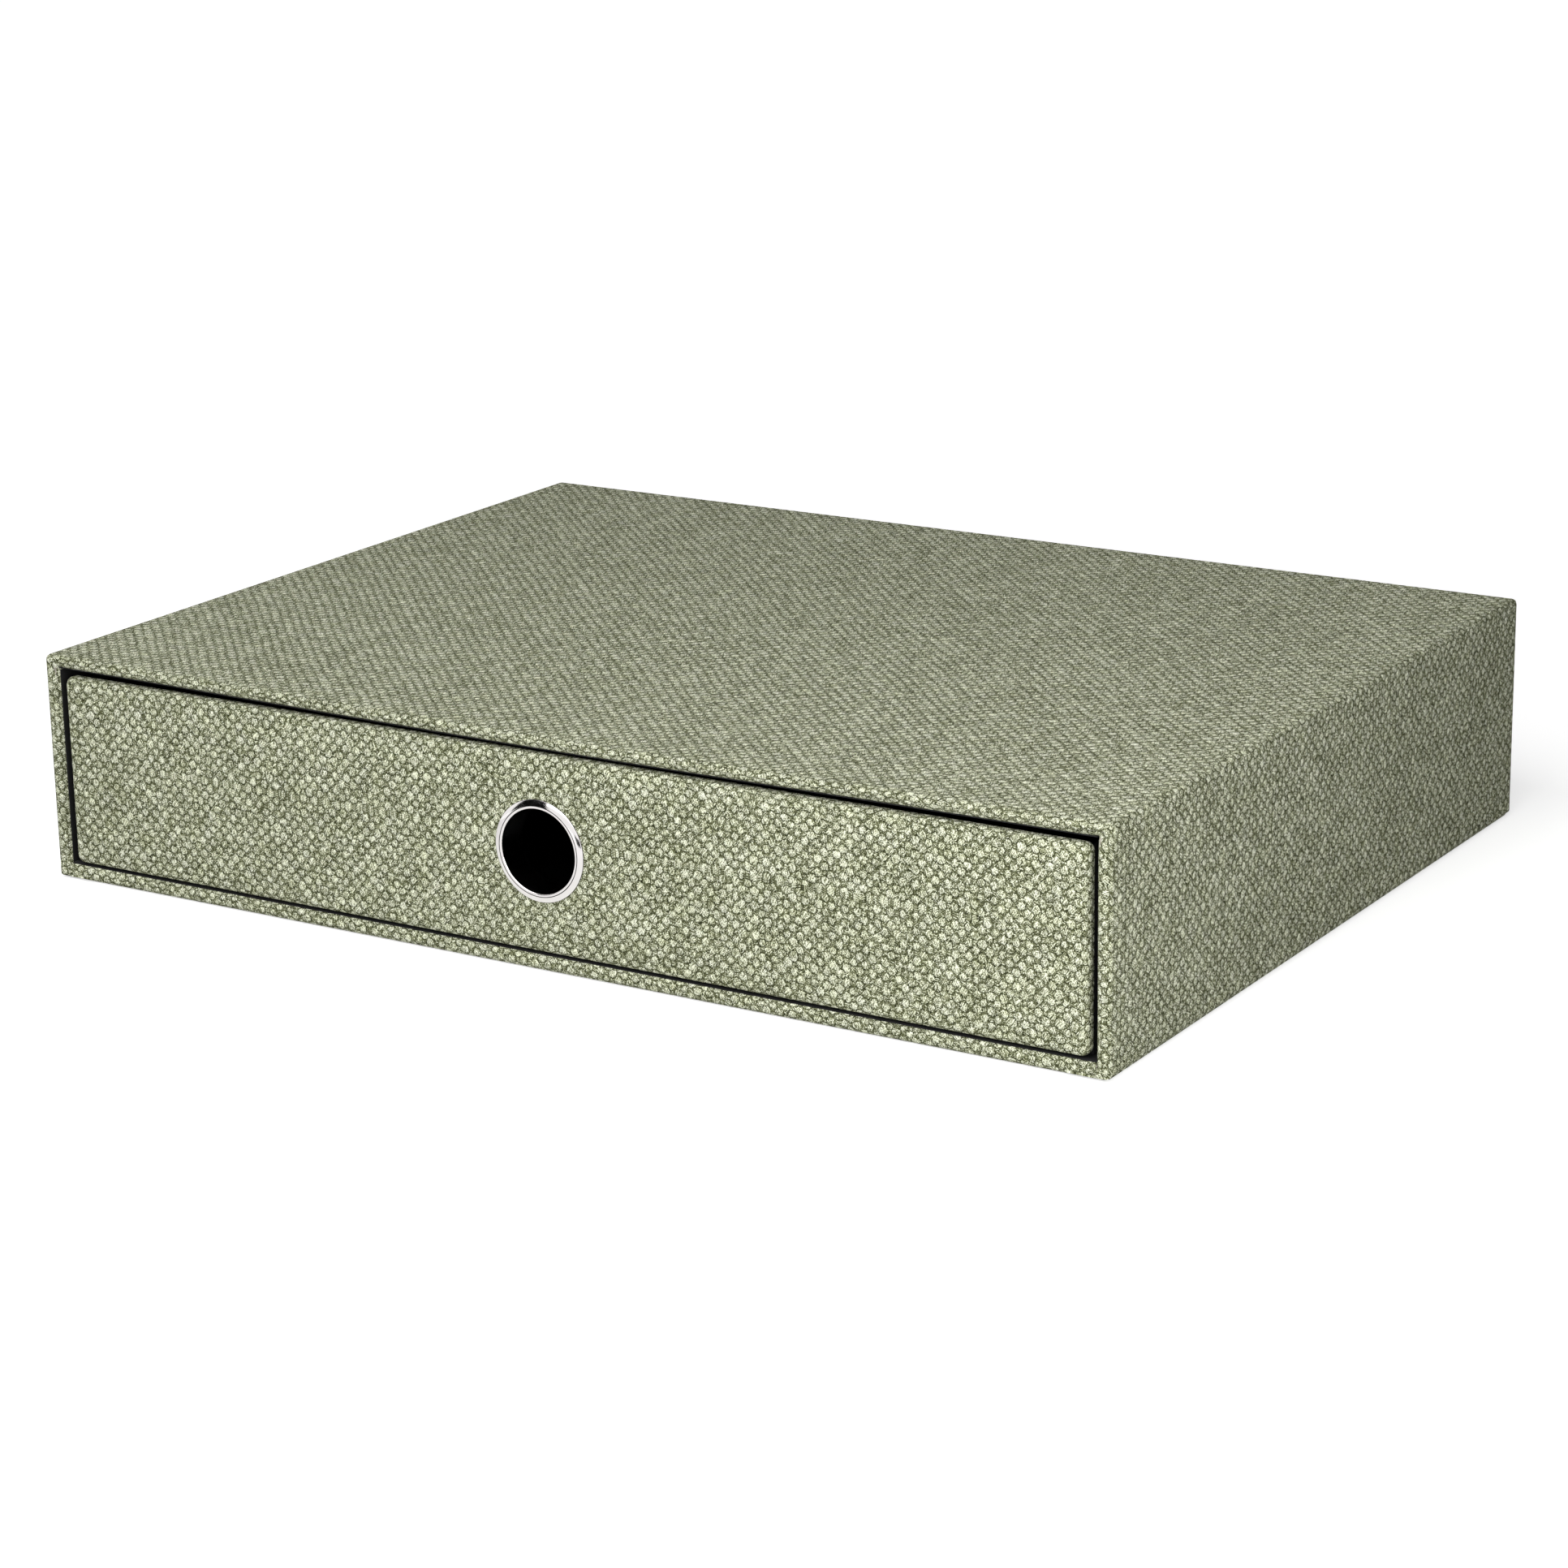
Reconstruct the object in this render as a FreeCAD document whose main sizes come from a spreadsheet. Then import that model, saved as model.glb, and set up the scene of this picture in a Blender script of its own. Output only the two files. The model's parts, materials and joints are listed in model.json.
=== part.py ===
import FreeCAD, Part
import Sketcher
import os

# File box with one drawer: a board casing covered in cloth, and a paper-covered
# board tray with a cloth-covered front panel and a metal finger eyelet.
# +X is the box's right, -Y its front, +Z up. The origin is the middle of the underside.

doc = FreeCAD.newDocument("file_box")

# Driving dimensions, in millimetres
SIZES = {
    "box_width": 335.0,
    "box_depth": 252.0,
    "box_height": 65.0,
    "cloth": 0.6,
    "paper": 0.2,
    "casing_board": 3.0,
    "tray_board": 2.0,
    "panel_board": 3.0,
    "edge_softness": 0.5,
    "mouth_turn_in": 18.0,
    "margin": 12.0,
    "sheet_inset": 1.4,
    "side_gap": 2.3,
    "top_gap": 1.2,
    "foot_gap": 1.1,
    "rear_gap": 2.0,
    "setback": 0.8,
    "panel_turn_in": 14.0,
    "tray_inset": 0.6,
    "rim_drop": 2.6,
    "rim_turn_in": 9.5,
    "slide_clearance": 0.1,
    "eyelet_lift": 0.55,
    "bore_radius": 11.4,
    "eyelet_wall": 0.4,
    "eyelet_fit": 0.2,
    "flange_reach": 2.2,
    "flange_height": 0.8,
    "flange_rim": 0.1,
    "lip_round": 0.3,
    "crease_reach": 0.75,
    "crease_depth": 0.15,
    "washer_reach": 2.2,
    "washer_thickness": 0.5,
    "roll_radius": 0.7,
    "overrun": 5.0,
}

sheet = doc.addObject("Spreadsheet::Sheet", "Sizes")
for row, (word, value) in enumerate(SIZES.items(), start=1):
    sheet.set(f"A{row}", word)
    sheet.set(f"B{row}", str(value))
    sheet.setAlias(f"B{row}", word)
doc.recompute()

# Places on the casing, as expressions on the sheet. X places are measured from the middle.
SIDE = "(Sizes.box_width / 2)"
BOARD_SIDE = f"({SIDE} - Sizes.cloth)"
INNER_SIDE = f"({BOARD_SIDE} - Sizes.casing_board)"
MOUTH_SIDE = f"({INNER_SIDE} - Sizes.cloth)"
MARGIN_SIDE = f"({SIDE} - Sizes.margin)"
SHEET_SIDE = f"({SIDE} - Sizes.sheet_inset)"

FRONT = "(-Sizes.box_depth / 2)"
BOARD_FRONT = f"({FRONT} + Sizes.cloth)"
TURN_IN_END = f"({FRONT} + Sizes.mouth_turn_in)"
BACK = "(Sizes.box_depth / 2)"
FOLD_BACK = f"({BACK} - Sizes.cloth)"
BOARD_BACK = f"({FOLD_BACK} - Sizes.cloth)"
INNER_BACK = f"({BOARD_BACK} - Sizes.casing_board)"
LINED_BACK = f"({INNER_BACK} - Sizes.paper)"

BASE = "0"
FOLD_BASE = "(Sizes.cloth)"
BOARD_BASE = "(Sizes.cloth * 2)"
FLOOR = "(Sizes.cloth + Sizes.casing_board)"
LINED_FLOOR = f"({FLOOR} + Sizes.paper)"
MOUTH_FLOOR = f"({FLOOR} + Sizes.cloth)"
TOP = "(Sizes.box_height)"
BOARD_TOP = f"({TOP} - Sizes.cloth)"
ROOF = f"({BOARD_TOP} - Sizes.casing_board)"
LINED_ROOF = f"({ROOF} - Sizes.paper)"
MOUTH_ROOF = f"({ROOF} - Sizes.cloth)"

# Places on the drawer, from the same values and the clearances
PANEL_SIDE = f"({MOUTH_SIDE} - Sizes.side_gap)"
PANEL_BOARD_SIDE = f"({PANEL_SIDE} - Sizes.cloth)"
PANEL_WINDOW_SIDE = f"({PANEL_SIDE} - Sizes.panel_turn_in)"
TRAY_SIDE = f"({PANEL_SIDE} - Sizes.tray_inset)"
TRAY_BOARD_SIDE = f"({TRAY_SIDE} - Sizes.paper)"
TRAY_INNER_SIDE = f"({TRAY_BOARD_SIDE} - Sizes.tray_board)"
TRAY_LINED_SIDE = f"({TRAY_INNER_SIDE} - Sizes.paper)"

FACE = f"({FRONT} + Sizes.setback)"
PANEL_BOARD_FRONT = f"({FACE} + Sizes.cloth)"
PANEL_BOARD_BACK = f"({PANEL_BOARD_FRONT} + Sizes.panel_board)"
TRAY_FRONT = f"({PANEL_BOARD_BACK} + Sizes.cloth)"
TRAY_BOARD_FRONT = f"({TRAY_FRONT} + Sizes.paper)"
TRAY_INNER_FRONT = f"({TRAY_BOARD_FRONT} + Sizes.tray_board)"
TRAY_LINED_FRONT = f"({TRAY_INNER_FRONT} + Sizes.paper)"
TRAY_BACK = f"({LINED_BACK} - Sizes.rear_gap)"
TRAY_BOARD_BACK = f"({TRAY_BACK} - Sizes.paper)"
TRAY_INNER_BACK = f"({TRAY_BOARD_BACK} - Sizes.tray_board)"
TRAY_LINED_BACK = f"({TRAY_INNER_BACK} - Sizes.paper)"
WASHER_BACK = f"({TRAY_LINED_FRONT} + Sizes.washer_thickness)"

PANEL_FOOT = f"({MOUTH_FLOOR} + Sizes.foot_gap)"
PANEL_TOP = f"({MOUTH_ROOF} - Sizes.top_gap)"
EYELET_HEIGHT = f"(({PANEL_FOOT} + {PANEL_TOP}) / 2 + Sizes.eyelet_lift)"
TRAY_FOOT = f"({MOUTH_FLOOR} + Sizes.slide_clearance)"
TRAY_BOARD_FOOT = f"({TRAY_FOOT} + Sizes.paper)"
TRAY_FLOOR = f"({TRAY_BOARD_FOOT} + Sizes.tray_board)"
TRAY_LINED_FLOOR = f"({TRAY_FLOOR} + Sizes.paper)"
RIM = f"({PANEL_TOP} - Sizes.rim_drop)"
RIM_BOARD = f"({RIM} - Sizes.paper)"
RIM_TURN_END = f"({RIM} - Sizes.rim_turn_in)"

BARREL_RADIUS = "(Sizes.bore_radius + Sizes.eyelet_wall)"
HOLE_RADIUS = f"({BARREL_RADIUS} + Sizes.eyelet_fit)"
FLANGE_RADIUS = f"({BARREL_RADIUS} + Sizes.flange_reach)"
WASHER_RADIUS = f"({HOLE_RADIUS} + Sizes.washer_reach)"

sub_parts = []


def keep(item, label):
    """Give a finished piece its name and list it for writing."""
    item.Label = label
    sub_parts.append(item)
    return item


# Blocks and booleans for the cloth and paper skins
def block(name, side, front, back, foot, top):
    """A block centred on X, as wide as twice its side."""
    box = doc.addObject("Part::Box", name)
    box.setExpression("Length", f"2 * {side}")
    box.setExpression("Width", f"{back} - {front}")
    box.setExpression("Height", f"{top} - {foot}")
    box.setExpression("Placement.Base.x", f"-{side}")
    box.setExpression("Placement.Base.y", front)
    box.setExpression("Placement.Base.z", foot)
    return box


def cut(name, base, *tools):
    """The base without its tools."""
    for number, tool in enumerate(tools):
        last = number == len(tools) - 1
        result = doc.addObject("Part::Cut", name if last else f"{name}_step_{number}")
        result.Base = base
        result.Tool = tool
        base = result
    return base


def fuse(name, *pieces):
    """The pieces as one solid, without seams in its faces."""
    result = doc.addObject("Part::MultiFuse", name)
    result.Shapes = list(pieces)
    result.Refine = True
    return result


def rounded(name, base, chosen):
    """The base with its chosen edges rounded, as cloth folds over a board's soft edge."""
    doc.recompute()
    result = doc.addObject("Part::Fillet", name)
    result.Base = base
    radius = sheet.cloth + sheet.edge_softness
    numbered = enumerate(base.Shape.Edges, start=1)
    result.Edges = [(number, radius, radius) for number, edge in numbered if chosen(edge)]
    return result


def eyelet_hole(name, front, back):
    """A round cutter through the drawer's front."""
    cutter = doc.addObject("Part::Cylinder", name)
    cutter.setExpression("Radius", HOLE_RADIUS)
    cutter.setExpression("Height", f"{back} - {front}")
    cutter.Placement.Rotation = FreeCAD.Rotation(FreeCAD.Vector(1, 0, 0), -90)
    cutter.setExpression("Placement.Base.y", front)
    cutter.setExpression("Placement.Base.z", EYELET_HEIGHT)
    return cutter


# Sketches and pads for the boards and the metal rings
def new_sketch(body, name, role, offset):
    """A sketch on one of the body's own planes, moved along the plane's normal."""
    sketch = body.newObject("Sketcher::SketchObject", name)
    plane = next(item for item in body.Origin.OriginFeatures if item.Role == role)
    sketch.AttachmentSupport = (plane, [""])
    sketch.MapMode = "FlatFace"
    sketch.setExpression("AttachmentOffset.Base.z", offset)
    return sketch


def bind(sketch, constraint, name, expression):
    """Add a sized constraint and tie it to the sheet."""
    number = sketch.addConstraint(constraint)
    sketch.renameConstraint(number, name)
    sketch.setExpression(f"Constraints.{name}", expression)


def rectangle(sketch, right, across, top, up):
    """A rectangle, given where its right and top sides lie and its two lengths."""
    corners = [FreeCAD.Vector(x, y, 0) for x, y in ((0, 0), (1, 0), (1, 1), (0, 1))]
    lines = [
        sketch.addGeometry(Part.LineSegment(corners[side], corners[(side + 1) % 4]), False)
        for side in range(4)
    ]
    for side in range(4):
        following = lines[(side + 1) % 4]
        sketch.addConstraint(Sketcher.Constraint("Coincident", lines[side], 2, following, 1))
        direction = "Horizontal" if side % 2 == 0 else "Vertical"
        sketch.addConstraint(Sketcher.Constraint(direction, lines[side]))
    low, right_line, high = lines[0], lines[1], lines[2]
    bind(sketch, Sketcher.Constraint("DistanceX", -1, 1, right_line, 1, 1), "right", right)
    bind(sketch, Sketcher.Constraint("DistanceX", low, 1, low, 2, 1), "across", across)
    bind(sketch, Sketcher.Constraint("DistanceY", -1, 1, high, 1, 1), "top", top)
    bind(sketch, Sketcher.Constraint("DistanceY", right_line, 1, right_line, 2, 1), "up", up)


def circle(sketch, name, radius):
    """A circle round the eyelet's axis, in a sketch on the XZ plane."""
    middle = FreeCAD.Vector(0, 1, 0)
    drawn = sketch.addGeometry(Part.Circle(middle, FreeCAD.Vector(0, 0, 1), 1), False)
    sketch.addConstraint(Sketcher.Constraint("PointOnObject", drawn, 3, -2))
    bind(sketch, Sketcher.Constraint("DistanceY", -1, 1, drawn, 3, 1), f"{name}_height",
         EYELET_HEIGHT)
    bind(sketch, Sketcher.Constraint("Radius", drawn, 1), f"{name}_radius", radius)


def pad(body, name, sketch, length, reversed_way=False):
    """The sketch made solid."""
    feature = body.newObject("PartDesign::Pad", name)
    feature.Profile = sketch
    feature.Reversed = reversed_way
    feature.setExpression("Length", length)
    sketch.Visibility = False
    return feature


def bore_through(body, name, back):
    """The eyelet's hole, cut forward from a board's back face."""
    outline = new_sketch(body, f"{name}_outline", "XZ_Plane", f"-{back}")
    circle(outline, "hole", HOLE_RADIUS)
    feature = body.newObject("PartDesign::Pocket", name)
    feature.Profile = outline
    feature.Type = "ThroughAll"
    feature.Reversed = True
    outline.Visibility = False
    doc.recompute()
    if feature.Shape.Volume >= feature.BaseFeature.Shape.Volume:
        raise RuntimeError(f"{name} cuts nothing")


def flat_board(label, side, front, back, foot, top):
    """A board that lies flat, centred on X."""
    body = doc.addObject("PartDesign::Body", label)
    outline = new_sketch(body, f"{label}_outline", "XY_Plane", foot)
    rectangle(outline, side, f"2 * {side}", back, f"{back} - {front}")
    pad(body, f"{label}_sheet", outline, f"{top} - {foot}")
    return keep(body, label)


def side_board(label, way, inside, outside, front, back, foot, top):
    """A board that stands at the left (way -1) or right (way 1)."""
    body = doc.addObject("PartDesign::Body", label)
    near = inside if way > 0 else f"-{outside}"
    outline = new_sketch(body, f"{label}_outline", "YZ_Plane", near)
    rectangle(outline, back, f"{back} - {front}", top, f"{top} - {foot}")
    pad(body, f"{label}_sheet", outline, f"{outside} - {inside}")
    return keep(body, label)


def cross_board(label, side, front, back, foot, top):
    """A board that stands across the box, centred on X."""
    body = doc.addObject("PartDesign::Body", label)
    outline = new_sketch(body, f"{label}_outline", "XZ_Plane", f"-{back}")
    rectangle(outline, side, f"2 * {side}", top, f"{top} - {foot}")
    pad(body, f"{label}_sheet", outline, f"{back} - {front}")
    return keep(body, label)


# Casing boards. The base and back boards have a raised field, one cloth thick,
# inside the margins where the cloth is pressed flush.
def casing_boards():
    flat_board("casing_top_board", BOARD_SIDE, BOARD_FRONT, BOARD_BACK, ROOF, BOARD_TOP)
    base = flat_board("casing_base_board", BOARD_SIDE, BOARD_FRONT, BOARD_BACK, BOARD_BASE, FLOOR)
    field = new_sketch(base, "casing_base_field", "XY_Plane", FOLD_BASE)
    rectangle(field, MARGIN_SIDE, f"2 * {MARGIN_SIDE}", BOARD_BACK, f"{BOARD_BACK} - {BOARD_FRONT}")
    pad(base, "casing_base_field_sheet", field, f"{BOARD_BASE} - {FOLD_BASE}")
    for label, way in (("casing_left_board", -1), ("casing_right_board", 1)):
        side_board(label, way, INNER_SIDE, BOARD_SIDE, BOARD_FRONT, BOARD_BACK, FLOOR, ROOF)
    back = cross_board("casing_back_board", INNER_SIDE, INNER_BACK, BOARD_BACK, FLOOR, ROOF)
    field = new_sketch(back, "casing_back_field", "XZ_Plane", f"-{FOLD_BACK}")
    height = "Sizes.box_height - 2 * Sizes.margin"
    rectangle(field, MARGIN_SIDE, f"2 * {MARGIN_SIDE}", f"{TOP} - Sizes.margin", height)
    pad(back, "casing_back_field_sheet", field, f"{FOLD_BACK} - {BOARD_BACK}")


# The wrap: left side, top and right side, turned in round the mouth, turned under the
# base and turned onto the back
def casing_wrap_cloth():
    blank = block("wrap_blank", SIDE, FRONT, FOLD_BACK, FOLD_BASE, TOP)
    outside = rounded("wrap_outside", blank, lambda edge: True)
    boards = block("wrap_boards", BOARD_SIDE, BOARD_FRONT, BOARD_BACK, BOARD_BASE, BOARD_TOP)
    below = f"({FOLD_BASE} - Sizes.overrun)"
    before = f"({FRONT} - Sizes.overrun)"
    behind = f"({BACK} + Sizes.overrun)"
    mouth = block("wrap_mouth", MOUTH_SIDE, before, TURN_IN_END, below, MOUTH_ROOF)
    under = block("wrap_under", MARGIN_SIDE, before, behind, below, FLOOR)
    window_front = f"({BOARD_BACK} - Sizes.overrun)"
    window = block("wrap_window", MARGIN_SIDE, window_front, behind, below, f"({TOP} - Sizes.margin)")
    skin = cut("wrap_skin", outside, boards, mouth, under, window)
    lining = block("wrap_turn_in", INNER_SIDE, BOARD_FRONT, TURN_IN_END, FLOOR, ROOF)
    way_in = block("wrap_way_in", MOUTH_SIDE, before, behind, below, MOUTH_ROOF)
    turn_in = cut("wrap_turn_in_sheet", lining, way_in)
    keep(fuse("casing_wrap_cloth", skin, turn_in), "casing_wrap_cloth")


# The base sheet: the underside, a fold over the base board's front edge into the mouth,
# and a fold up the back
def casing_base_cloth():
    sheet_front = f"({FRONT} + Sizes.sheet_inset)"
    sheet_back = f"({BACK} - Sizes.sheet_inset)"
    underside = block("base_underside", SHEET_SIDE, sheet_front, sheet_back, BASE, FOLD_BASE)
    front_blank = block("base_front_blank", MOUTH_SIDE, FRONT, TURN_IN_END, BASE, MOUTH_FLOOR)

    def at_front(edge):
        forward = edge.BoundBox.YMax < -sheet.box_depth / 2 + sheet.cloth / 2
        return forward and edge.BoundBox.XLength > sheet.box_width / 2

    front_fold = rounded("base_front_fold", front_blank, at_front)
    behind = f"({BACK} + Sizes.overrun)"
    board = block("base_board_room", BOARD_SIDE, BOARD_FRONT, behind, FOLD_BASE, FLOOR)
    front = cut("base_front", front_fold, board)
    margin_top = "(Sizes.margin)"
    back_front = f"({FOLD_BACK} - Sizes.margin)"
    back_blank = block("base_back_blank", MARGIN_SIDE, back_front, FOLD_BACK, BASE, margin_top)
    inside = block("base_back_room", BOARD_SIDE, back_front, BOARD_BACK, FOLD_BASE,
                   f"({margin_top} + Sizes.overrun)")
    back = cut("base_back", back_blank, inside)
    keep(fuse("casing_base_cloth", underside, front, back), "casing_base_cloth")


def casing_back_cloth():
    low = "(Sizes.sheet_inset)"
    high = f"({TOP} - Sizes.sheet_inset)"
    keep(block("casing_back_cloth", SHEET_SIDE, FOLD_BACK, BACK, low, high), "casing_back_cloth")


# Black paper on the casing's inside, from the turned-in cloth to the back
def casing_linings():
    flat_board("casing_floor_lining", INNER_SIDE, TURN_IN_END, LINED_BACK, FLOOR, LINED_FLOOR)
    flat_board("casing_roof_lining", INNER_SIDE, TURN_IN_END, LINED_BACK, LINED_ROOF, ROOF)
    lined_side = f"({INNER_SIDE} - Sizes.paper)"
    for label, way in (("casing_left_lining", -1), ("casing_right_lining", 1)):
        side_board(label, way, lined_side, INNER_SIDE, TURN_IN_END, LINED_BACK, LINED_FLOOR, LINED_ROOF)
    cross_board("casing_back_lining", INNER_SIDE, LINED_BACK, INNER_BACK, FLOOR, ROOF)


# Tray boards: the walls stand on the base, and the end walls stand between the side walls
def tray_boards():
    flat_board("drawer_base_board", TRAY_BOARD_SIDE, TRAY_BOARD_FRONT, TRAY_BOARD_BACK,
               TRAY_BOARD_FOOT, TRAY_FLOOR)
    for label, way in (("drawer_left_board", -1), ("drawer_right_board", 1)):
        side_board(label, way, TRAY_INNER_SIDE, TRAY_BOARD_SIDE, TRAY_BOARD_FRONT, TRAY_BOARD_BACK,
                   TRAY_FLOOR, RIM_BOARD)
    cross_board("drawer_rear_board", TRAY_INNER_SIDE, TRAY_INNER_BACK, TRAY_BOARD_BACK,
                TRAY_FLOOR, RIM_BOARD)
    inner_front = cross_board("drawer_inner_front_board", TRAY_INNER_SIDE, TRAY_BOARD_FRONT,
                              TRAY_INNER_FRONT, TRAY_FLOOR, RIM_BOARD)
    bore_through(inner_front, "inner_front_hole", TRAY_INNER_FRONT)


# The front panel, with a raised field behind it inside the turned-in cloth
def drawer_panel_board():
    foot = f"({PANEL_FOOT} + Sizes.cloth)"
    top = f"({PANEL_TOP} - Sizes.cloth)"
    board = cross_board("drawer_panel_board", PANEL_BOARD_SIDE, PANEL_BOARD_FRONT, PANEL_BOARD_BACK,
                        foot, top)
    field = new_sketch(board, "drawer_panel_field", "XZ_Plane", f"-{TRAY_FRONT}")
    field_top = f"({PANEL_TOP} - Sizes.panel_turn_in)"
    field_foot = f"({PANEL_FOOT} + Sizes.panel_turn_in)"
    rectangle(field, PANEL_WINDOW_SIDE, f"2 * {PANEL_WINDOW_SIDE}", field_top,
              f"{field_top} - {field_foot}")
    pad(board, "drawer_panel_field_sheet", field, f"{TRAY_FRONT} - {PANEL_BOARD_BACK}")
    bore_through(board, "panel_hole_pocket", TRAY_FRONT)


def drawer_panel_cloth():
    blank = block("panel_blank", PANEL_SIDE, FACE, TRAY_FRONT, PANEL_FOOT, PANEL_TOP)
    outside = rounded("panel_outside", blank, lambda edge: True)
    foot = f"({PANEL_FOOT} + Sizes.cloth)"
    top = f"({PANEL_TOP} - Sizes.cloth)"
    room = block("panel_room", PANEL_BOARD_SIDE, PANEL_BOARD_FRONT, PANEL_BOARD_BACK, foot, top)
    window_foot = f"({PANEL_FOOT} + Sizes.panel_turn_in)"
    window_top = f"({PANEL_TOP} - Sizes.panel_turn_in)"
    behind = f"({TRAY_FRONT} + Sizes.overrun)"
    window = block("panel_window", PANEL_WINDOW_SIDE, PANEL_BOARD_FRONT, behind,
                   window_foot, window_top)
    hole = eyelet_hole("panel_hole", f"({FACE} - Sizes.overrun)", behind)
    keep(cut("drawer_panel_cloth", outside, room, window, hole), "drawer_panel_cloth")


# Black paper round the tray: outside, underside and over the rim
def drawer_wrap_paper():
    outside = block("tray_outside", TRAY_SIDE, TRAY_FRONT, TRAY_BACK, TRAY_FOOT, RIM)
    boards = block("tray_room", TRAY_BOARD_SIDE, TRAY_BOARD_FRONT, TRAY_BOARD_BACK,
                   TRAY_BOARD_FOOT, RIM_BOARD)
    above = f"({RIM} + Sizes.overrun)"
    mouth = block("tray_mouth", TRAY_LINED_SIDE, TRAY_LINED_FRONT, TRAY_LINED_BACK,
                  RIM_TURN_END, above)
    skin = cut("tray_skin", outside, boards, mouth)
    lining = block("tray_turn_in", TRAY_INNER_SIDE, TRAY_INNER_FRONT, TRAY_INNER_BACK,
                   RIM_TURN_END, RIM)
    turn_in = cut("tray_turn_in_sheet", lining, mouth)
    hole = eyelet_hole("tray_hole", f"({TRAY_FRONT} - Sizes.overrun)",
                       f"({TRAY_LINED_FRONT} + Sizes.overrun)")
    wrap = fuse("tray_wrap", skin, turn_in)
    keep(cut("drawer_wrap_paper", wrap, hole), "drawer_wrap_paper")


def drawer_linings():
    strip = block("wall_strip", TRAY_INNER_SIDE, TRAY_INNER_FRONT, TRAY_INNER_BACK,
                  TRAY_FLOOR, RIM_TURN_END)
    above = f"({RIM_TURN_END} + Sizes.overrun)"
    inside = block("wall_inside", TRAY_LINED_SIDE, TRAY_LINED_FRONT, TRAY_LINED_BACK,
                   f"({TRAY_FLOOR} - Sizes.overrun)", above)
    hole = eyelet_hole("wall_hole", f"({TRAY_INNER_FRONT} - Sizes.overrun)",
                       f"({TRAY_LINED_FRONT} + Sizes.overrun)")
    keep(cut("drawer_wall_lining", strip, inside, hole), "drawer_wall_lining")
    flat_board("drawer_floor_lining", TRAY_LINED_SIDE, TRAY_LINED_FRONT, TRAY_LINED_BACK,
               TRAY_FLOOR, TRAY_LINED_FLOOR)


# The eyelet: a domed flange on the cloth, a creased inner lip, a barrel through the
# drawer's front and an end rolled over the washer
def eyelet_ring():
    body = doc.addObject("PartDesign::Body", "eyelet_ring")
    flange_sketch = new_sketch(body, "flange_outline", "XZ_Plane", f"-{FACE}")
    circle(flange_sketch, "outer", FLANGE_RADIUS)
    circle(flange_sketch, "bore", "Sizes.bore_radius")
    pad(body, "flange", flange_sketch, "Sizes.flange_height")

    barrel_sketch = new_sketch(body, "barrel_outline", "XZ_Plane", f"-{FACE}")
    circle(barrel_sketch, "outer", BARREL_RADIUS)
    circle(barrel_sketch, "bore", "Sizes.bore_radius")
    barrel_end = f"({WASHER_BACK} + Sizes.roll_radius)"
    barrel = pad(body, "barrel", barrel_sketch, f"{barrel_end} - {FACE}", reversed_way=True)

    def round_front_edge(name, base, chosen, radius):
        """The base with one circle of its front face rounded."""
        doc.recompute()
        front = -sheet.box_depth / 2 + sheet.setback - sheet.flange_height
        circles = [
            (edge.BoundBox.XLength, f"Edge{number}")
            for number, edge in enumerate(base.Shape.Edges, start=1)
            if abs(edge.CenterOfMass.y - front) < sheet.flange_rim / 2
        ]
        feature = body.newObject("PartDesign::Fillet", name)
        feature.Base = (base, [chosen(circles)[1]])
        feature.setExpression("Radius", radius)
        return feature

    domed = round_front_edge("dome", barrel, max, "Sizes.flange_height - Sizes.flange_rim")
    round_front_edge("lip", domed, min, "Sizes.lip_round")

    across = FreeCAD.Rotation(FreeCAD.Vector(1, 0, 0), 90)
    roll = body.newObject("PartDesign::AdditiveTorus", "rolled_end")
    roll.setExpression("Radius1", "Sizes.bore_radius + Sizes.eyelet_wall / 2 + Sizes.roll_radius")
    roll.setExpression("Radius2", "Sizes.roll_radius")
    crease = body.newObject("PartDesign::SubtractiveTorus", "crease")
    crease.setExpression("Radius1", "Sizes.bore_radius + Sizes.crease_reach")
    crease.setExpression("Radius2", "Sizes.crease_depth")
    for ring, place in ((roll, barrel_end), (crease, f"{FACE} - Sizes.flange_height")):
        ring.Placement.Rotation = across
        ring.setExpression("Placement.Base.y", place)
        ring.setExpression("Placement.Base.z", EYELET_HEIGHT)
    keep(body, "eyelet_ring")


def eyelet_washer():
    body = doc.addObject("PartDesign::Body", "eyelet_washer")
    outline = new_sketch(body, "washer_outline", "XZ_Plane", f"-{WASHER_BACK}")
    circle(outline, "outer", WASHER_RADIUS)
    circle(outline, "bore", HOLE_RADIUS)
    pad(body, "washer", outline, "Sizes.washer_thickness")
    keep(body, "eyelet_washer")


casing_boards()
casing_wrap_cloth()
casing_base_cloth()
casing_back_cloth()
casing_linings()
tray_boards()
drawer_panel_board()
drawer_panel_cloth()
drawer_wrap_paper()
drawer_linings()
eyelet_ring()
eyelet_washer()
doc.recompute()

for item in doc.Objects:
    if "Invalid" in item.State or "Error" in item.State:
        raise RuntimeError(f"{item.Label} did not build: {item.State}")
for piece in sub_parts:
    if piece.Shape.isNull() or not piece.Shape.isValid() or len(piece.Shape.Solids) != 1:
        raise RuntimeError(f"{piece.Label} is not one valid solid")

os.makedirs("parts", exist_ok=True)
for piece in sub_parts:
    piece.Shape.exportStep(f"parts/{piece.Label}.step")
    box = piece.Shape.BoundBox
    print(f"{piece.Label}: {box.XMin:.2f} {box.XMax:.2f} | {box.YMin:.2f} {box.YMax:.2f} | "
          f"{box.ZMin:.2f} {box.ZMax:.2f} | {piece.Shape.Volume:.1f}")
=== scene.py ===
import json
import math

import bmesh
import bpy
from mathutils import Matrix, Vector

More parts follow.
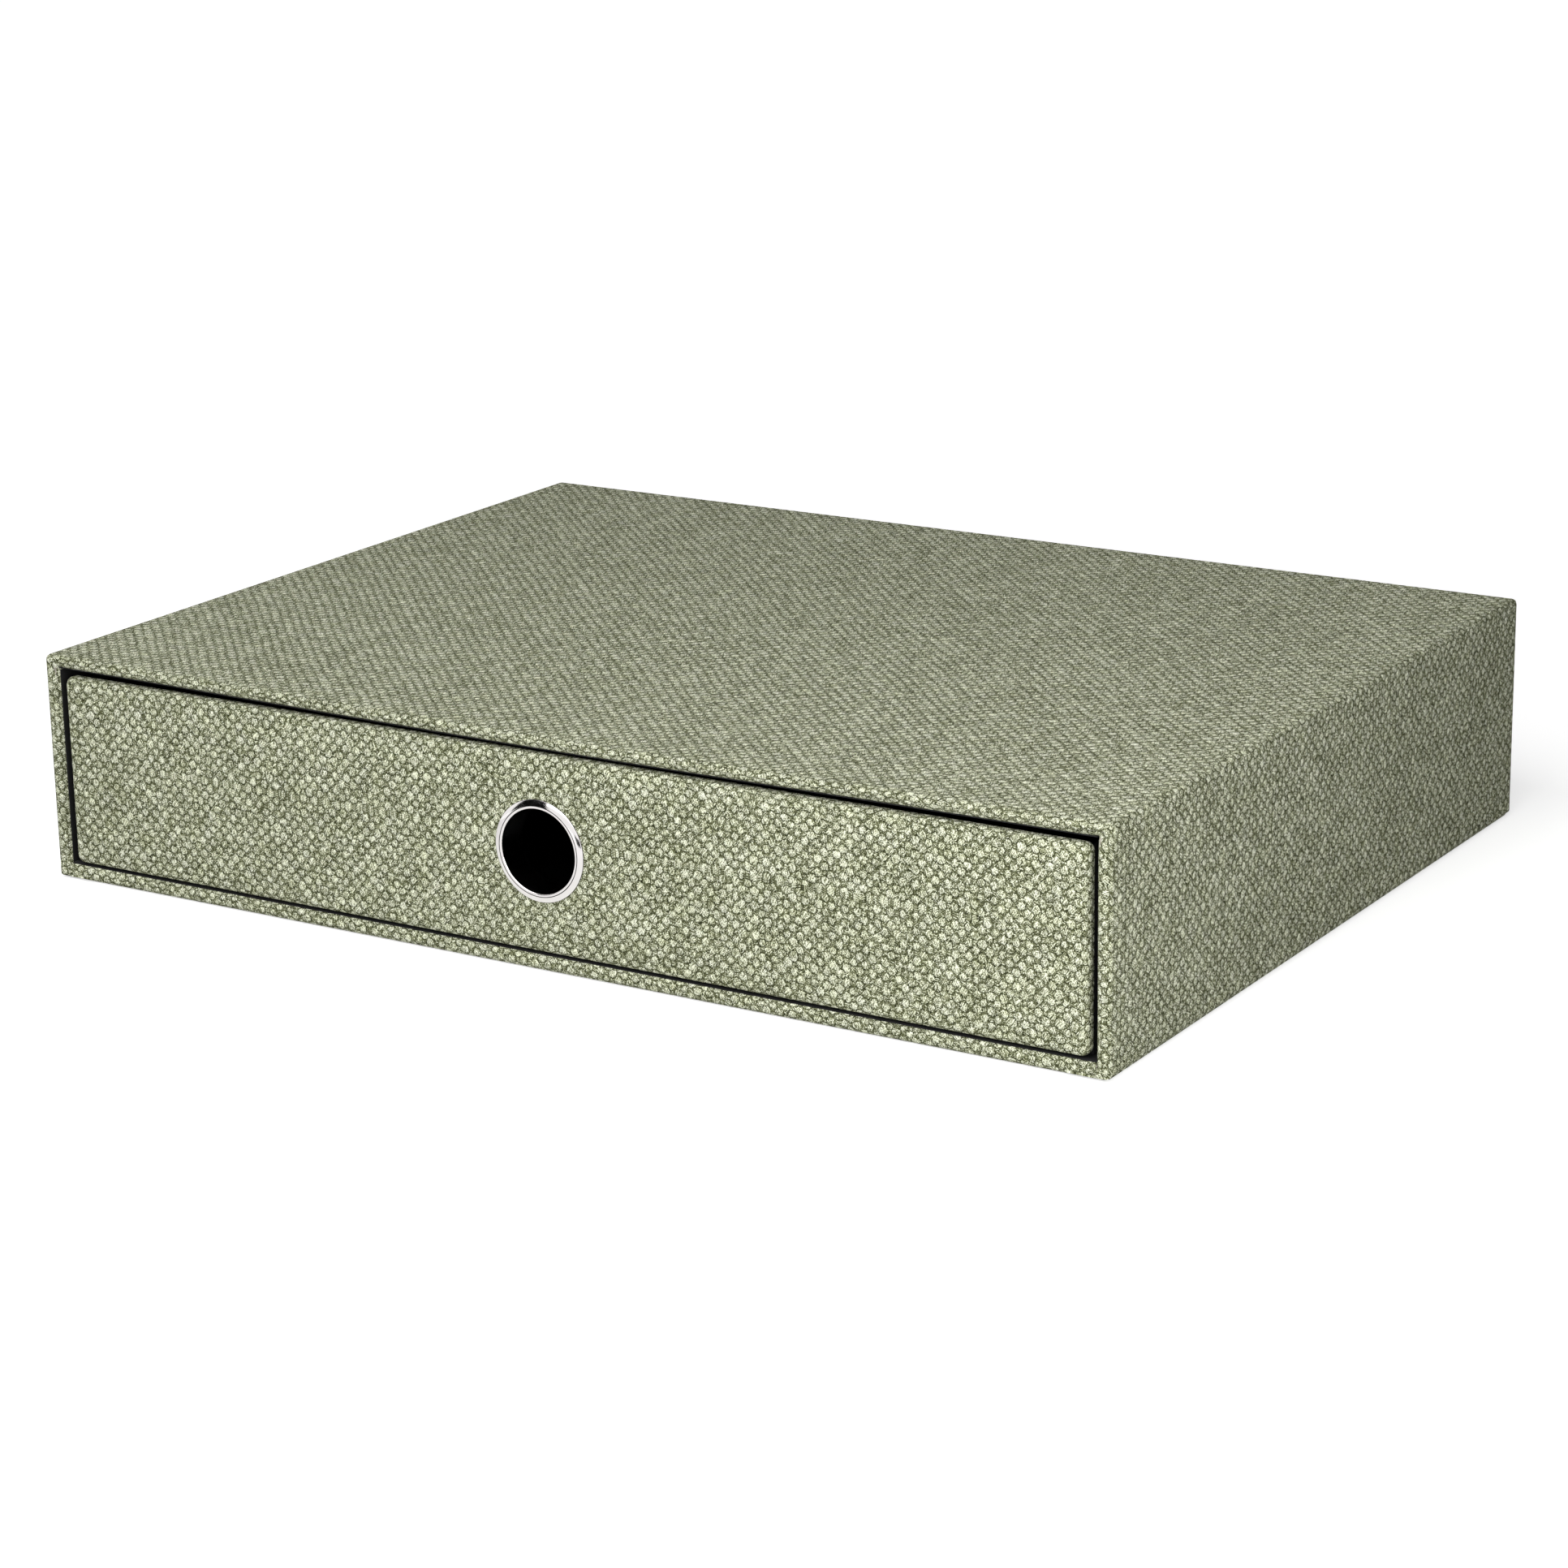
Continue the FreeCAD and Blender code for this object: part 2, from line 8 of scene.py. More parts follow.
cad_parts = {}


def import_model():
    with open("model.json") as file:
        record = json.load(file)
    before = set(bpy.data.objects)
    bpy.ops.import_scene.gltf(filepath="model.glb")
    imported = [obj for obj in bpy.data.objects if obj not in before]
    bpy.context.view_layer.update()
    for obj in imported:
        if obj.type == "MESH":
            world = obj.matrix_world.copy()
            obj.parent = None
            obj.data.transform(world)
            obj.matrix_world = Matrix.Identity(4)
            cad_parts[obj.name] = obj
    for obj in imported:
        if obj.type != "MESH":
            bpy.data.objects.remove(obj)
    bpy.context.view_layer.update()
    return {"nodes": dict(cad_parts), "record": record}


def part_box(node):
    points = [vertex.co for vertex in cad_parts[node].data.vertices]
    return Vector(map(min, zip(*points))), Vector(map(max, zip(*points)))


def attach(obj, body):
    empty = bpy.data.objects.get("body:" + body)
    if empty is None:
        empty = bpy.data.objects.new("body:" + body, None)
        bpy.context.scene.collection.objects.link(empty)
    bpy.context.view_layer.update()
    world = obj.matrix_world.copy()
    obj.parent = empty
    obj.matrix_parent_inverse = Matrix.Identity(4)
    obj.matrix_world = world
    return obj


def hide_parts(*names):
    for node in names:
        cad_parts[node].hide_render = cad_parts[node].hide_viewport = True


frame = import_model()

bl_info = {
    "name": "File box with drawer",
    "version": (1, 0, 0),
    "blender": (4, 5, 0),
    "location": "3D View > Sidebar > File Box",
    "description": "Dresses the packed file box in cloth, paper, board and chrome",
    "category": "Object",
}

WEAVE_MAP = "ClothWeave"
NEAR = 2e-5  # places closer than this are the same
FOLD_ZONE = 0.0021  # a little more than a fold of the casing's cloth takes up
TURN_IN_ZONE = 0.0003  # faces this near the panel's back are of the cloth turned in behind it
GRID, BASE_GRID, BACK_GRID = 0.008, 0.01, 0.012  # between the cross lines of a sheet
ROUND_STEPS = 96
HOLE_CLEARANCE = 0.0002  # round the eyelet's barrel
THROUGH_PANEL, THROUGH_PAPER = 0.02, 0.001  # depths of its drill
SAG_CENTRE = 0.002  # this far round the lid's front middle the full sag is felt


# -------- places read from the frame


def low(node):
    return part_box(node)[0]


def high(node):
    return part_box(node)[1]


SIDE = high("casing_wrap_cloth").x
TOP = high("casing_wrap_cloth").z
FRONT = low("casing_wrap_cloth").y
WRAP_FOOT = low("casing_wrap_cloth").z
WRAP_BACK = high("casing_wrap_cloth").y
BACK = high("casing_back_cloth").y
MOUTH_SIDE = low("casing_right_board").x - (SIDE - high("casing_right_board").x)
MOUTH_ROOF = low("casing_top_board").z - (TOP - high("casing_top_board").z)
MOUTH_FLOOR = high("casing_base_board").z + low("casing_base_board").z
TURN_IN_END = low("casing_floor_lining").y
BASE_FLOOR = high("casing_base_board").z
MARGIN = high("casing_base_cloth").z
PANEL_LOW, PANEL_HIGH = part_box("drawer_panel_cloth")
EYELET = (low("eyelet_ring") + high("eyelet_ring")) / 2
MOUNTS = {mount["kind"]: mount["dims"] for mount in frame["record"]["mounts"]}
BORE = MOUNTS["bore"]["r_mm"] / 1000


# -------- settings


def quantity(name, description, default, **more):
    return bpy.props.FloatProperty(
        name=name, description=description, default=default, min=0, **more
    )


def length(name, description, default):
    return quantity(name, description, default, unit="LENGTH", subtype="DISTANCE", precision=5)


def slope(name, description, degrees):
    return quantity(name, description, math.radians(degrees), max=math.pi / 2, unit="ROTATION")


def power(name, description, default):
    return quantity(name, description, default, unit="POWER")


def colour(name, description, default):
    return bpy.props.FloatVectorProperty(
        name=name, description=description, default=default, min=0, max=1, size=3, subtype="COLOR"
    )


class FILEBOX_PG_casing(bpy.types.PropertyGroup):
    cloth: length("Cloth thickness", "Thickness of the cloth on the boards", WRAP_FOOT)
    fold: length("Fold radius", "Radius of the cloth where it goes round a board's edge", 0.0016)
    # The linings' black, lapped this near the mouth, also stands in for the shade in the gaps round
    # the drawer front.
    lining_setback: length("Lining setback", "From the front plane to the linings' edge", 0.0011)
    side_setback: length("Side setback", "How much further back the side linings start", 0.0006)
    easing: length("Mouth easing", "How much thinner the lid is at the mouth", 0.00075)
    sag: length("Lid sag", "How far the lid's front edge hangs down in its middle", 0.00085)
    sag_reach: length("Sag reach", "How far from the front middle the sag is felt", 0.163)
    crease: length("Corner crease", "Depth of the crease in the mouth's upper corners", 0.0007)


class FILEBOX_PG_drawer(bpy.types.PropertyGroup):
    corner: length("Panel corners", "Radius of the drawer front's four corners", 0.0024)
    fold: length("Panel fold", "Radius of the cloth round the drawer front", 0.0016)
    drop: length("Panel drop", "How far the drawer front hangs below the middle of its gap", 0.0004)
    padding: length("Panel padding", "How far the cloth bulges in front of the board", 0.0003)
    turn_in: length("Panel turn-in", "Cloth turned in behind the drawer front", 0.014)
    paper_fold: length("Paper fold", "Radius of the paper round the tray's boards", 0.0004)


class FILEBOX_PG_eyelet(bpy.types.PropertyGroup):
    flange_height: length("Flange height", "How far the flange stands proud of the cloth", 0.0008)
    wall: length("Wall", "Thickness of the eyelet's metal", 0.0004)
    roll: length("Roll radius", "Radius of the barrel's rolled end", 0.0007)
    edge: length("Flange edge", "Radius of the flange's outer edge", 0.0002)
    inner_slope: slope("Inner slope", "How steeply the flange falls away next to the crease", 12)
    outer_slope: slope("Outer slope", "How steeply the flange falls away next to its edge", 28)
    crease_reach: length("Crease reach", "From the bore to the crease in the flange", 0.00095)
    crease_depth: length("Crease depth", "Depth of the crease in the flange", 0.00022)
    lip: length("Lip radius", "Radius of the bore's front edge", 0.00025)
    flare: length("Flare", "How much wider the bore is at its lip", 0.0002)


class FILEBOX_PG_finishes(bpy.types.PropertyGroup):
    pitch: length("Yarn pitch", "From one yarn of the weave to the next", 0.0019)
    relief: length("Weave relief", "Height of the weave's floats", 0.0005)
    # The shade and light ends of the cloth's tone ramp also carry its painted shade and painted
    # light.
    shade: colour("Cloth shade", "Cloth between the yarns", (0.1, 0.108, 0.047))
    body: colour("Cloth body", "Cloth in its middle tone", (0.397, 0.416, 0.277))
    light: colour("Cloth light", "Pale fibres on the yarns", (0.8, 0.82, 0.66))
    paper: colour("Paper", "Black paper of the linings", (0.008, 0.008, 0.0085))
    board: colour("Board", "Grey pulp board", (0.36, 0.33, 0.28))
    chrome: colour("Chrome", "Polished plating of the eyelet", (0.86, 0.83, 0.82))


class FILEBOX_PG_stage(bpy.types.PropertyGroup):
    key: power("Key lamp", "Power of the wide lamp in front", 12.2)
    side: power("Side lamp", "Power of the small lamp at the right", 1.75)
    overhead: power("Overhead lamp", "Power of the wide lamp above", 0.6)
    fill: quantity("Fill", "Level of the even light from all round", 0.12)
    floor: colour("Floor", "Pale floor", (0.65, 0.65, 0.65))


def settings(group):
    return getattr(bpy.context.scene, "filebox_" + group)


# -------- modelling helpers


def leave_edit_mode():
    if bpy.context.mode != "OBJECT":
        bpy.ops.object.mode_set(mode="OBJECT")


def start(name):
    """Names the primitive just added and opens it for editing, all of it selected."""
    piece = bpy.context.active_object
    piece.name = piece.data.name = name
    bpy.ops.object.transform_apply(location=True, rotation=True, scale=True)
    bpy.ops.object.mode_set(mode="EDIT")
    choose_all()
    return piece


def choose_all():
    bpy.ops.mesh.select_all(action="SELECT")


def begin():
    leave_edit_mode()
    bpy.ops.object.select_all(action="DESELECT")


def pick(piece):
    """Selects one object alone, in object mode."""
    begin()
    bpy.context.view_layer.objects.active = piece
    piece.select_set(True)


def block(name, lowest, highest):
    begin()
    centre = (Vector(lowest) + Vector(highest)) / 2
    bpy.ops.mesh.primitive_cube_add(size=1, location=centre)
    piece = start(name)
    bpy.ops.transform.resize(value=Vector(highest) - Vector(lowest), center_override=centre)
    return piece


def sheet(name, x, y, z):
    """A flat rectangle that faces up, from x[0] to x[1] and y[0] to y[1] at height z."""
    begin()
    centre = Vector(((x[0] + x[1]) / 2, (y[0] + y[1]) / 2, z))
    bpy.ops.mesh.primitive_plane_add(size=1, location=centre)
    piece = start(name)
    bpy.ops.transform.resize(value=(x[1] - x[0], y[1] - y[0], 1), center_override=centre)
    return piece


def corners(part):
    return [vert.co for vert in getattr(part, "verts", (part,))]


def at(part, **planes):
    """Whether all of a vertex, edge or face lies in each of the planes x=, y= and z=."""
    return all(
        abs(getattr(corner, axis) - value) < NEAR
        for axis, value in planes.items()
        for corner in corners(part)
    )


def middle(part):
    places = corners(part)
    return sum(places, Vector()) / len(places)


def choose(kind, test):
    """Selects the vertices, edges or faces that pass the test, and nothing else."""
    bpy.ops.mesh.select_mode(type=kind)
    bpy.ops.mesh.select_all(action="DESELECT")
    mesh = bpy.context.active_object.data
    form = bmesh.from_edit_mesh(mesh)
    form.normal_update()
    parts = {"VERT": form.verts, "EDGE": form.edges, "FACE": form.faces}[kind]
    chosen = [part for part in parts if test(part)]
    if not chosen:
        raise RuntimeError(f"nothing chosen on {mesh.name}")
    for part in chosen:
        part.select_set(True)
    form.select_flush_mode()
    bmesh.update_edit_mesh(mesh)
    return chosen


def remove_faces(test):
    choose("FACE", test)
    bpy.ops.mesh.delete(type="FACE")


def push(x=0, y=0, z=0):
    """Extrudes what is selected and moves it."""
    bpy.ops.mesh.extrude_region_move(TRANSFORM_OT_translate={"value": (x, y, z)})


def draw_in(centre, x=1, y=1, z=1):
    """Extrudes what is selected and scales it about a point."""
    bpy.ops.mesh.extrude_region_move(TRANSFORM_OT_translate={"value": (0, 0, 0)})
    bpy.ops.transform.resize(value=(x, y, z), center_override=centre)


def cut(axis, places):
    """Cuts the selected piece across at each place along an axis."""
    direction = Vector([name == axis for name in "xyz"])
    for place in places:
        choose_all()
        bpy.ops.mesh.bisect(plane_co=direction * place, plane_no=direction)


def spaced(first, last, step):
    """Even places between two ends, about a step apart, without the ends."""
    count = max(2, round((last - first) / step))
    return [first + (last - first) * number / count for number in range(1, count)]


def soften(test, radius, segments=4):
    """Rounds the edges that pass the test."""
    choose("EDGE", test)
    bpy.ops.mesh.bevel(
        offset=radius, offset_type="OFFSET", segments=segments, profile=0.5, clamp_overlap=False
    )


def square_and_convex(edge):
    """Whether two faces meet at an outward corner of about a right angle."""
    if len(edge.link_faces) != 2 or not edge.is_convex:
        return False
    one, other = (face.normal for face in edge.link_faces)
    return one.dot(other) < 0.3


def apply_modifier(piece, kind, **values):
    pick(piece)
    modifier = piece.modifiers.new(kind.title(), kind)
    for name, value in values.items():
        setattr(modifier, name, value)
    bpy.ops.object.modifier_apply(modifier=modifier.name)


def thicken(piece, thickness, even=True):
    """Gives a skin its wall, behind the side that it shows."""
    apply_modifier(
        piece, "SOLIDIFY", thickness=thickness, offset=-1.0, use_even_offset=even, use_rim=True
    )


def barrel_hole():
    """Radius of the hole that the eyelet's barrel passes through."""
    return BORE + settings("eyelet").wall + HOLE_CLEARANCE


def drill_for_eyelet(piece, y, depth):
    """Cuts the barrel's hole along Y, from half the depth before y to half the depth behind it."""
    begin()
    bpy.ops.mesh.primitive_cylinder_add(
        vertices=ROUND_STEPS,
        radius=barrel_hole(),
        depth=depth,
        location=(EYELET.x, y, EYELET.z),
        rotation=(math.pi / 2, 0, 0),
    )
    drill_bit = bpy.context.active_object
    bpy.ops.object.transform_apply(location=True, rotation=True, scale=True)
    apply_modifier(piece, "BOOLEAN", operation="DIFFERENCE", solver="MANIFOLD", object=drill_bit)
    bpy.data.objects.remove(drill_bit)


def lay_weave(piece, place):
    """Gives each corner of each face its place on the flat cloth, in metres."""
    leave_edit_mode()
    mesh = piece.data
    for layer in list(mesh.uv_layers):
        mesh.uv_layers.remove(layer)
    layer = mesh.uv_layers.new(name=WEAVE_MAP)
    for face in mesh.polygons:
        centre = face.center
        for loop in face.loop_indices:
            corner = mesh.vertices[mesh.loops[loop].vertex_index].co
            layer.data[loop].uv = place(corner, centre, face.normal)


def hand_over(piece, body, slot, *nodes):
    """Shades a finished piece, gives it its slot's finish and lets it stand for its CAD nodes."""
    pick(piece)
    bpy.ops.object.shade_smooth_by_angle(angle=math.radians(40))
    for layer in [layer for layer in piece.data.uv_layers if layer.name != WEAVE_MAP]:
        piece.data.uv_layers.remove(layer)
    piece.data.materials.clear()
    piece.data.materials.append(FINISH_OF_SLOT[slot]())
    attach(piece, body)
    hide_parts(*nodes)


# -------- finishes


class Nodes:
    """The nodes of a material or a world, made one at a time."""

    def __init__(self, owner):
        owner.use_nodes = True
        self.tree = owner.node_tree

    def feed(self, socket, value):
        if isinstance(value, bpy.types.NodeSocket):
            self.tree.links.new(value, socket)
        else:
            socket.default_value = value

    def node(self, kind, **values):
        node = self.tree.nodes.new("ShaderNode" + kind)
        for name, value in values.items():
            setattr(node, name, value)
        return node

    def math(self, operation, *values, clamp=False):
        node = self.node("Math", operation=operation, use_clamp=clamp)
        for socket, value in zip(node.inputs, values):
            self.feed(socket, value)
        return node.outputs[0]

    def vector(self, operation, *values, scale=None):
        node = self.node("VectorMath", operation=operation)
        for socket, value in zip(node.inputs, values):
            self.feed(socket, value)
        if scale is not None:
            self.feed(node.inputs["Scale"], scale)
        return node.outputs["Value" if operation == "LENGTH" else "Vector"]

    def parts(self, vector):
        node = self.node("SeparateXYZ")
        self.feed(node.inputs[0], vector)
        return node.outputs

    def join(self, x=0.0, y=0.0, z=0.0):
        node = self.node("CombineXYZ")
        for socket, value in zip(node.inputs, (x, y, z)):
            self.feed(socket, value)
        return node.outputs[0]

    def noise(self, place, scale=1.0, detail=2.0, roughness=0.5, output="Fac"):
        node = self.node("TexNoise")
        self.feed(node.inputs["Vector"], place)
        for name, value in (("Scale", scale), ("Detail", detail), ("Roughness", roughness)):
            self.feed(node.inputs[name], value)
        return node.outputs[output]

    def chance(self, place):
        """Three random numbers for a place."""
        node = self.node("TexWhiteNoise", noise_dimensions="3D")
        self.feed(node.inputs["Vector"], place)
        return self.parts(node.outputs["Color"])

    def turned(self, place, degrees, scale, shift):
        """A place turned about Z, then stretched and moved."""
        turn = self.node("VectorRotate", rotation_type="Z_AXIS")
        self.feed(turn.inputs["Vector"], place)
        self.feed(turn.inputs["Angle"], math.radians(degrees))
        return self.vector("MULTIPLY_ADD", turn.outputs[0], scale, shift)

    def spread(self, value, low_in, high_in, low_out=0.0, high_out=1.0):
        """Leads a value gently from one range to another, and holds it at both ends."""
        node = self.node("MapRange", interpolation_type="SMOOTHSTEP", clamp=True)
        for socket, given in zip(node.inputs, (value, low_in, high_in, low_out, high_out)):
            self.feed(socket, given)
        return node.outputs[0]

    def ramp(self, value, stops):
        node = self.node("ValToRGB")
        self.feed(node.inputs[0], value)
        places = node.color_ramp.elements
        while len(places) < len(stops):
            places.new(0.5)
        for element, (place, tone) in zip(places, stops):
            element.position = place
            element.color = (*tone, 1)
        return node.outputs[0]


class Finish(Nodes):
    """A new material, made round its shader."""

    def __init__(self, name):
        self.material = bpy.data.materials.new(name)
        super().__init__(self.material)
        self.shader = self.tree.nodes["Principled BSDF"]

    def bump(self, height, distance):
        node = self.node("Bump")
        for name, value in (("Height", height), ("Distance", distance), ("Strength", 1.0)):
            self.feed(node.inputs[name], value)
        self.feed(self.shader.inputs["Normal"], node.outputs[0])

    def set(self, **values):
        for name, value in values.items():
            self.feed(self.shader.inputs[name.replace("_", " ")], value)


def once(make):
    """A finish is made the first time it is asked for, then shared."""
    made = []

    def shared():
        if not made:
            made.append(make())
        return made[0]

    return shared


def mixed(one, other, share):
    return tuple(a + (b - a) * share for a, b in zip(one, other))


@once
def woven_cloth():
    """Coarse plain weave: raised floats in a chequer, lower ones between, fine fibres over both."""
    look = settings("finishes")
    f = Finish("coarse_plain_weave")
    lay = f.node("UVMap", uv_map=WEAVE_MAP).outputs["UV"]
    mm = f.vector("SCALE", lay, scale=1000.0)
    axes = f.parts(mm)
    ragged = f.parts(f.noise(mm, scale=1.1, detail=1.0, output="Color"))
    pitch = look.pitch * 1000
    quick_reach, slow_reach, ragged_reach = 0.9, 5.0, 0.75

    def about_nought(noise):
        return f.math("SUBTRACT", noise, 0.5)

    def wander(scale, shift, reach):
        """Moves a yarn sideways by a noise that is long along it and short across it."""
        value = f.noise(f.vector("MULTIPLY_ADD", mm, scale, shift), detail=1.0)
        return f.math("MULTIPLY", about_nought(value), reach)

    def yarns(axis, quick, slow, shift):
        """Counts the yarns along an axis, each a little out of line."""
        place = f.math("ADD", axes[axis], wander(quick, shift, quick_reach))
        place = f.math("ADD", place, wander(slow, shift, slow_reach))
        place = f.math("MULTIPLY_ADD", ragged[axis], ragged_reach, place)
        return f.math("DIVIDE", place, pitch)

    warp = yarns(0, (0.27, 0.045, 0), (0.012, 0.01, 0), (3.1, 0, 1.7))
    weft = yarns(1, (0.045, 0.27, 0), (0.01, 0.012, 0), (0, 7.7, 4.9))
    half_sum = f.math("MULTIPLY", f.math("ADD", warp, weft), 0.5)
    half_gap = f.math("MULTIPLY", f.math("SUBTRACT", warp, weft), 0.5)

    def floats(shift, half_width, half_height):
        """One set of floats: height from rim to crown, a mark of the rim, and three chances."""
        smallest, more, rim_start, rim_end = 0.88, 0.24, 0.03, 0.24
        place = f.join(f.math("ADD", half_sum, shift), f.math("ADD", half_gap, shift))
        cell = f.vector("FLOOR", place)
        inside = f.parts(f.vector("SUBTRACT", f.vector("SUBTRACT", place, cell), (0.5, 0.5, 0)))
        chances = f.chance(f.vector("ADD", cell, (shift, 0.3, 0)))
        offset = f.join(
            f.math("DIVIDE", f.math("ADD", inside[0], inside[1]), half_width),
            f.math("DIVIDE", f.math("SUBTRACT", inside[0], inside[1]), half_height),
        )
        size = f.math("MULTIPLY_ADD", chances[0], more, smallest)
        distance = f.math("MULTIPLY", f.vector("LENGTH", offset), size)
        squared = f.math("MULTIPLY", distance, distance)
        crown = f.math("SQRT", f.math("SUBTRACT", 1.0, squared, clamp=True))
        from_rim = f.math("ABSOLUTE", f.math("SUBTRACT", distance, 1.0))
        return crown, f.spread(from_rim, rim_start, rim_end), chances

    raised, raised_rim, raised_chances = floats(0.5, 0.67, 0.64)
    sunk, sunk_rim, sunk_chances = floats(1.0, 0.5, 0.46)
    raised = f.math("MULTIPLY", raised, f.math("MULTIPLY_ADD", raised_chances[1], 0.4, 0.75))
    sunk = f.math("MULTIPLY", sunk, f.math("MULTIPLY_ADD", sunk_chances[1], 0.4, 0.2))
    relief = f.math("MAXIMUM", raised, sunk)
    on_raised = f.spread(f.math("SUBTRACT", raised, sunk), -0.1, 0.1)

    def streaks(degrees, along, across, shift):
        """Fine fibres that lie in one direction, as a noise about 0."""
        lie = f.turned(mm, degrees, (along, across, 0), (shift, shift, shift))
        return about_nought(f.noise(lie, detail=1.0, roughness=0.6))

    def either(share, one, other):
        return f.math("MULTIPLY_ADD", share, f.math("SUBTRACT", other, one), one)

    upright = either(
        f.spread(ragged[2], 0.4, 0.6), streaks(68, 0.45, 3.3, 3), streaks(124, 0.45, 3.2, 19)
    )
    lying = either(
        f.spread(ragged[2], 0.42, 0.58), streaks(20, 0.5, 3.3, 41), streaks(-40, 0.4, 3.2, 67)
    )
    fibres = either(on_raised, lying, upright)
    loose = streaks(-38, 0.12, 1.6, 97)
    strays = f.spread(f.math("ABSOLUTE", loose), 0.0, 0.04, 1.0, 0.0)
    here_and_there = f.spread(f.noise(mm, scale=0.3, detail=1.0), 0.47, 0.55)
    strays = f.math("MULTIPLY", strays, here_and_there)
    grain = about_nought(f.noise(mm, scale=3.4, detail=0.0))
    mottle = about_nought(f.noise(mm, scale=0.035, detail=3.0))

    # How pale the cloth is, as a power of e of the middle tone.
    # Painted shade at the floats' rims and on the lower floats, painted light on the raised crowns.
    tone = f.math("MULTIPLY_ADD", raised_rim, 0.8, -2.2)
    for value, weight in (
        (f.math("MAXIMUM", sunk_rim, on_raised), 0.7),
        (f.spread(raised, 0.0, 1.0), 0.84),
        (about_nought(raised_chances[2]), 0.5),
        (fibres, 8.8),
        (grain, 4.8),
        (strays, 0.8),
        (mottle, 0.4),
    ):
        tone = f.math("MULTIPLY_ADD", value, weight, tone)
    brightness = f.math("MULTIPLY", f.math("EXPONENT", tone), look.body[1])

    shade, body, light = tuple(look.shade), tuple(look.body), tuple(look.light)
    deepest = (0.004, 0.005, 0.001)
    # The ramp colours the tone, painted shade and painted light included.
    pattern_and_painted_shade = f.ramp(brightness, ((0.0, deepest), (shade[1], shade), (body[1], body), (1.0, light)))
    uneven = about_nought(f.noise(mm, scale=0.22, detail=2.0))
    uneven = f.join(uneven, uneven, uneven)
    uneven = f.vector("MULTIPLY_ADD", uneven, (0.06, 0.08, -0.17), (1, 1, 1))
    f.set(Base_Color=f.vector("MULTIPLY", pattern_and_painted_shade, uneven), Roughness=0.92)
    f.set(Specular_IOR_Level=0.1, Sheen_Weight=0.03, Sheen_Roughness=0.5)
    height = f.math("MULTIPLY_ADD", fibres, 0.7, relief)
    height = f.math("MULTIPLY_ADD", grain, 0.6, height)
    f.bump(height, look.relief)
    return f.material


@once
def black_paper():
    """Dyed paper with short pressed fibres, a little greyer where it is rubbed."""
    ink = tuple(settings("finishes").paper)
    rubbed = mixed(ink, (0.05, 0.05, 0.05), 0.25)
    f = Finish("black_lining_paper")
    mm = f.vector("SCALE", f.node("TexCoord").outputs["Object"], scale=1000.0)
    grain = f.noise(mm, scale=2.6, detail=4.0, roughness=0.65)
    cloudy = f.noise(mm, scale=0.09, detail=3.0)
    tone = f.math("MULTIPLY_ADD", f.math("SUBTRACT", cloudy, 0.5), 0.3, grain)
    f.set(Base_Color=f.ramp(tone, ((0.25, mixed(ink, (0, 0, 0), 0.35)), (0.75, rubbed))))
    f.set(Roughness=f.spread(grain, 0.3, 0.7, 0.72, 0.9), Specular_IOR_Level=0.3)
    f.bump(grain, 0.00012)
    return f.material


@once
def greyboard():
    """Grey pulp board with darker and paler flecks."""
    grey = tuple(settings("finishes").board)
    dark_fleck, pale_fleck = mixed(grey, (0, 0, 0), 0.45), mixed(grey, (1, 1, 1), 0.25)
    f = Finish("grey_pulp_board")
    mm = f.vector("SCALE", f.node("TexCoord").outputs["Object"], scale=1000.0)
    pulp = f.noise(mm, scale=1.1, detail=4.0, roughness=0.7)
    plies = f.noise(f.vector("MULTIPLY", mm, (0.3, 0.3, 2.5)), detail=2.0)
    tone = f.math("MULTIPLY_ADD", f.math("SUBTRACT", plies, 0.5), 0.4, pulp)
    flecked = f.ramp(tone, ((0.25, dark_fleck), (0.5, grey), (0.8, pale_fleck)))
    f.set(Base_Color=flecked, Roughness=0.95)
    f.bump(pulp, 0.0001)
    return f.material


@once
def chromed_steel():
    """Polished plating with faint turning marks, and painted shade in its crease and along its
    edge.
    """
    plating = tuple(settings("finishes").chrome)
    # colour of the painted shade in the crease and along the edge
    painted_shade_colour = (0.02, 0.017, 0.014)
    f = Finish("polished_chrome")
    place = f.vector("SUBTRACT", f.node("TexCoord").outputs["Object"], tuple(EYELET))
    mm = f.vector("SCALE", place, scale=1000.0)
    x, _, z = f.parts(mm)
    radius = f.math("SQRT", f.math("ADD", f.math("MULTIPLY", x, x), f.math("MULTIPLY", z, z)))
    turned = f.noise(f.join(f.math("MULTIPLY", radius, 6.0), 0.0, 0.0), detail=2.0)
    clouds = f.noise(mm, scale=0.6, detail=3.0)
    crease = (BORE + settings("eyelet").crease_reach) * 1000
    rim = (high("eyelet_ring").x - EYELET.x) * 1000
    # painted shade: darker in the crease's hollow, and a dark line at the outer edge for its
    # contact shadow and the reflected cloth
    to_crease = f.math("ABSOLUTE", f.math("SUBTRACT", radius, crease))
    painted_crease_shade = f.spread(to_crease, f.spread(clouds, 0.4, 0.6, 0.02, 0.07), 0.16, 1.0, 0.0)
    painted_edge_shade = f.spread(radius, rim - 0.14, rim - 0.04)
    painted_shade_share = f.math("MULTIPLY", f.math("MAXIMUM", painted_crease_shade, painted_edge_shade), 0.9)
    shade_mixer = f.node("Mix", data_type="RGBA")
    used = {socket.name: socket for socket in shade_mixer.inputs if socket.enabled}
    for name, value in (("Factor", painted_shade_share), ("A", (*plating, 1)), ("B", (*painted_shade_colour, 1))):
        f.feed(used[name], value)
    result = next(socket for socket in shade_mixer.outputs if socket.enabled)
    f.set(Base_Color=result, Metallic=1.0, Roughness=f.spread(clouds, 0.3, 0.75, 0.06, 0.13))
    f.bump(f.math("MULTIPLY_ADD", clouds, 0.6, turned), 0.00001)
    return f.material


FINISH_OF_SLOT = {
    "woven_cloth": woven_cloth,
    "black_paper": black_paper,
    "greyboard": greyboard,
    "chromed_steel": chromed_steel,
}


# -------- casing


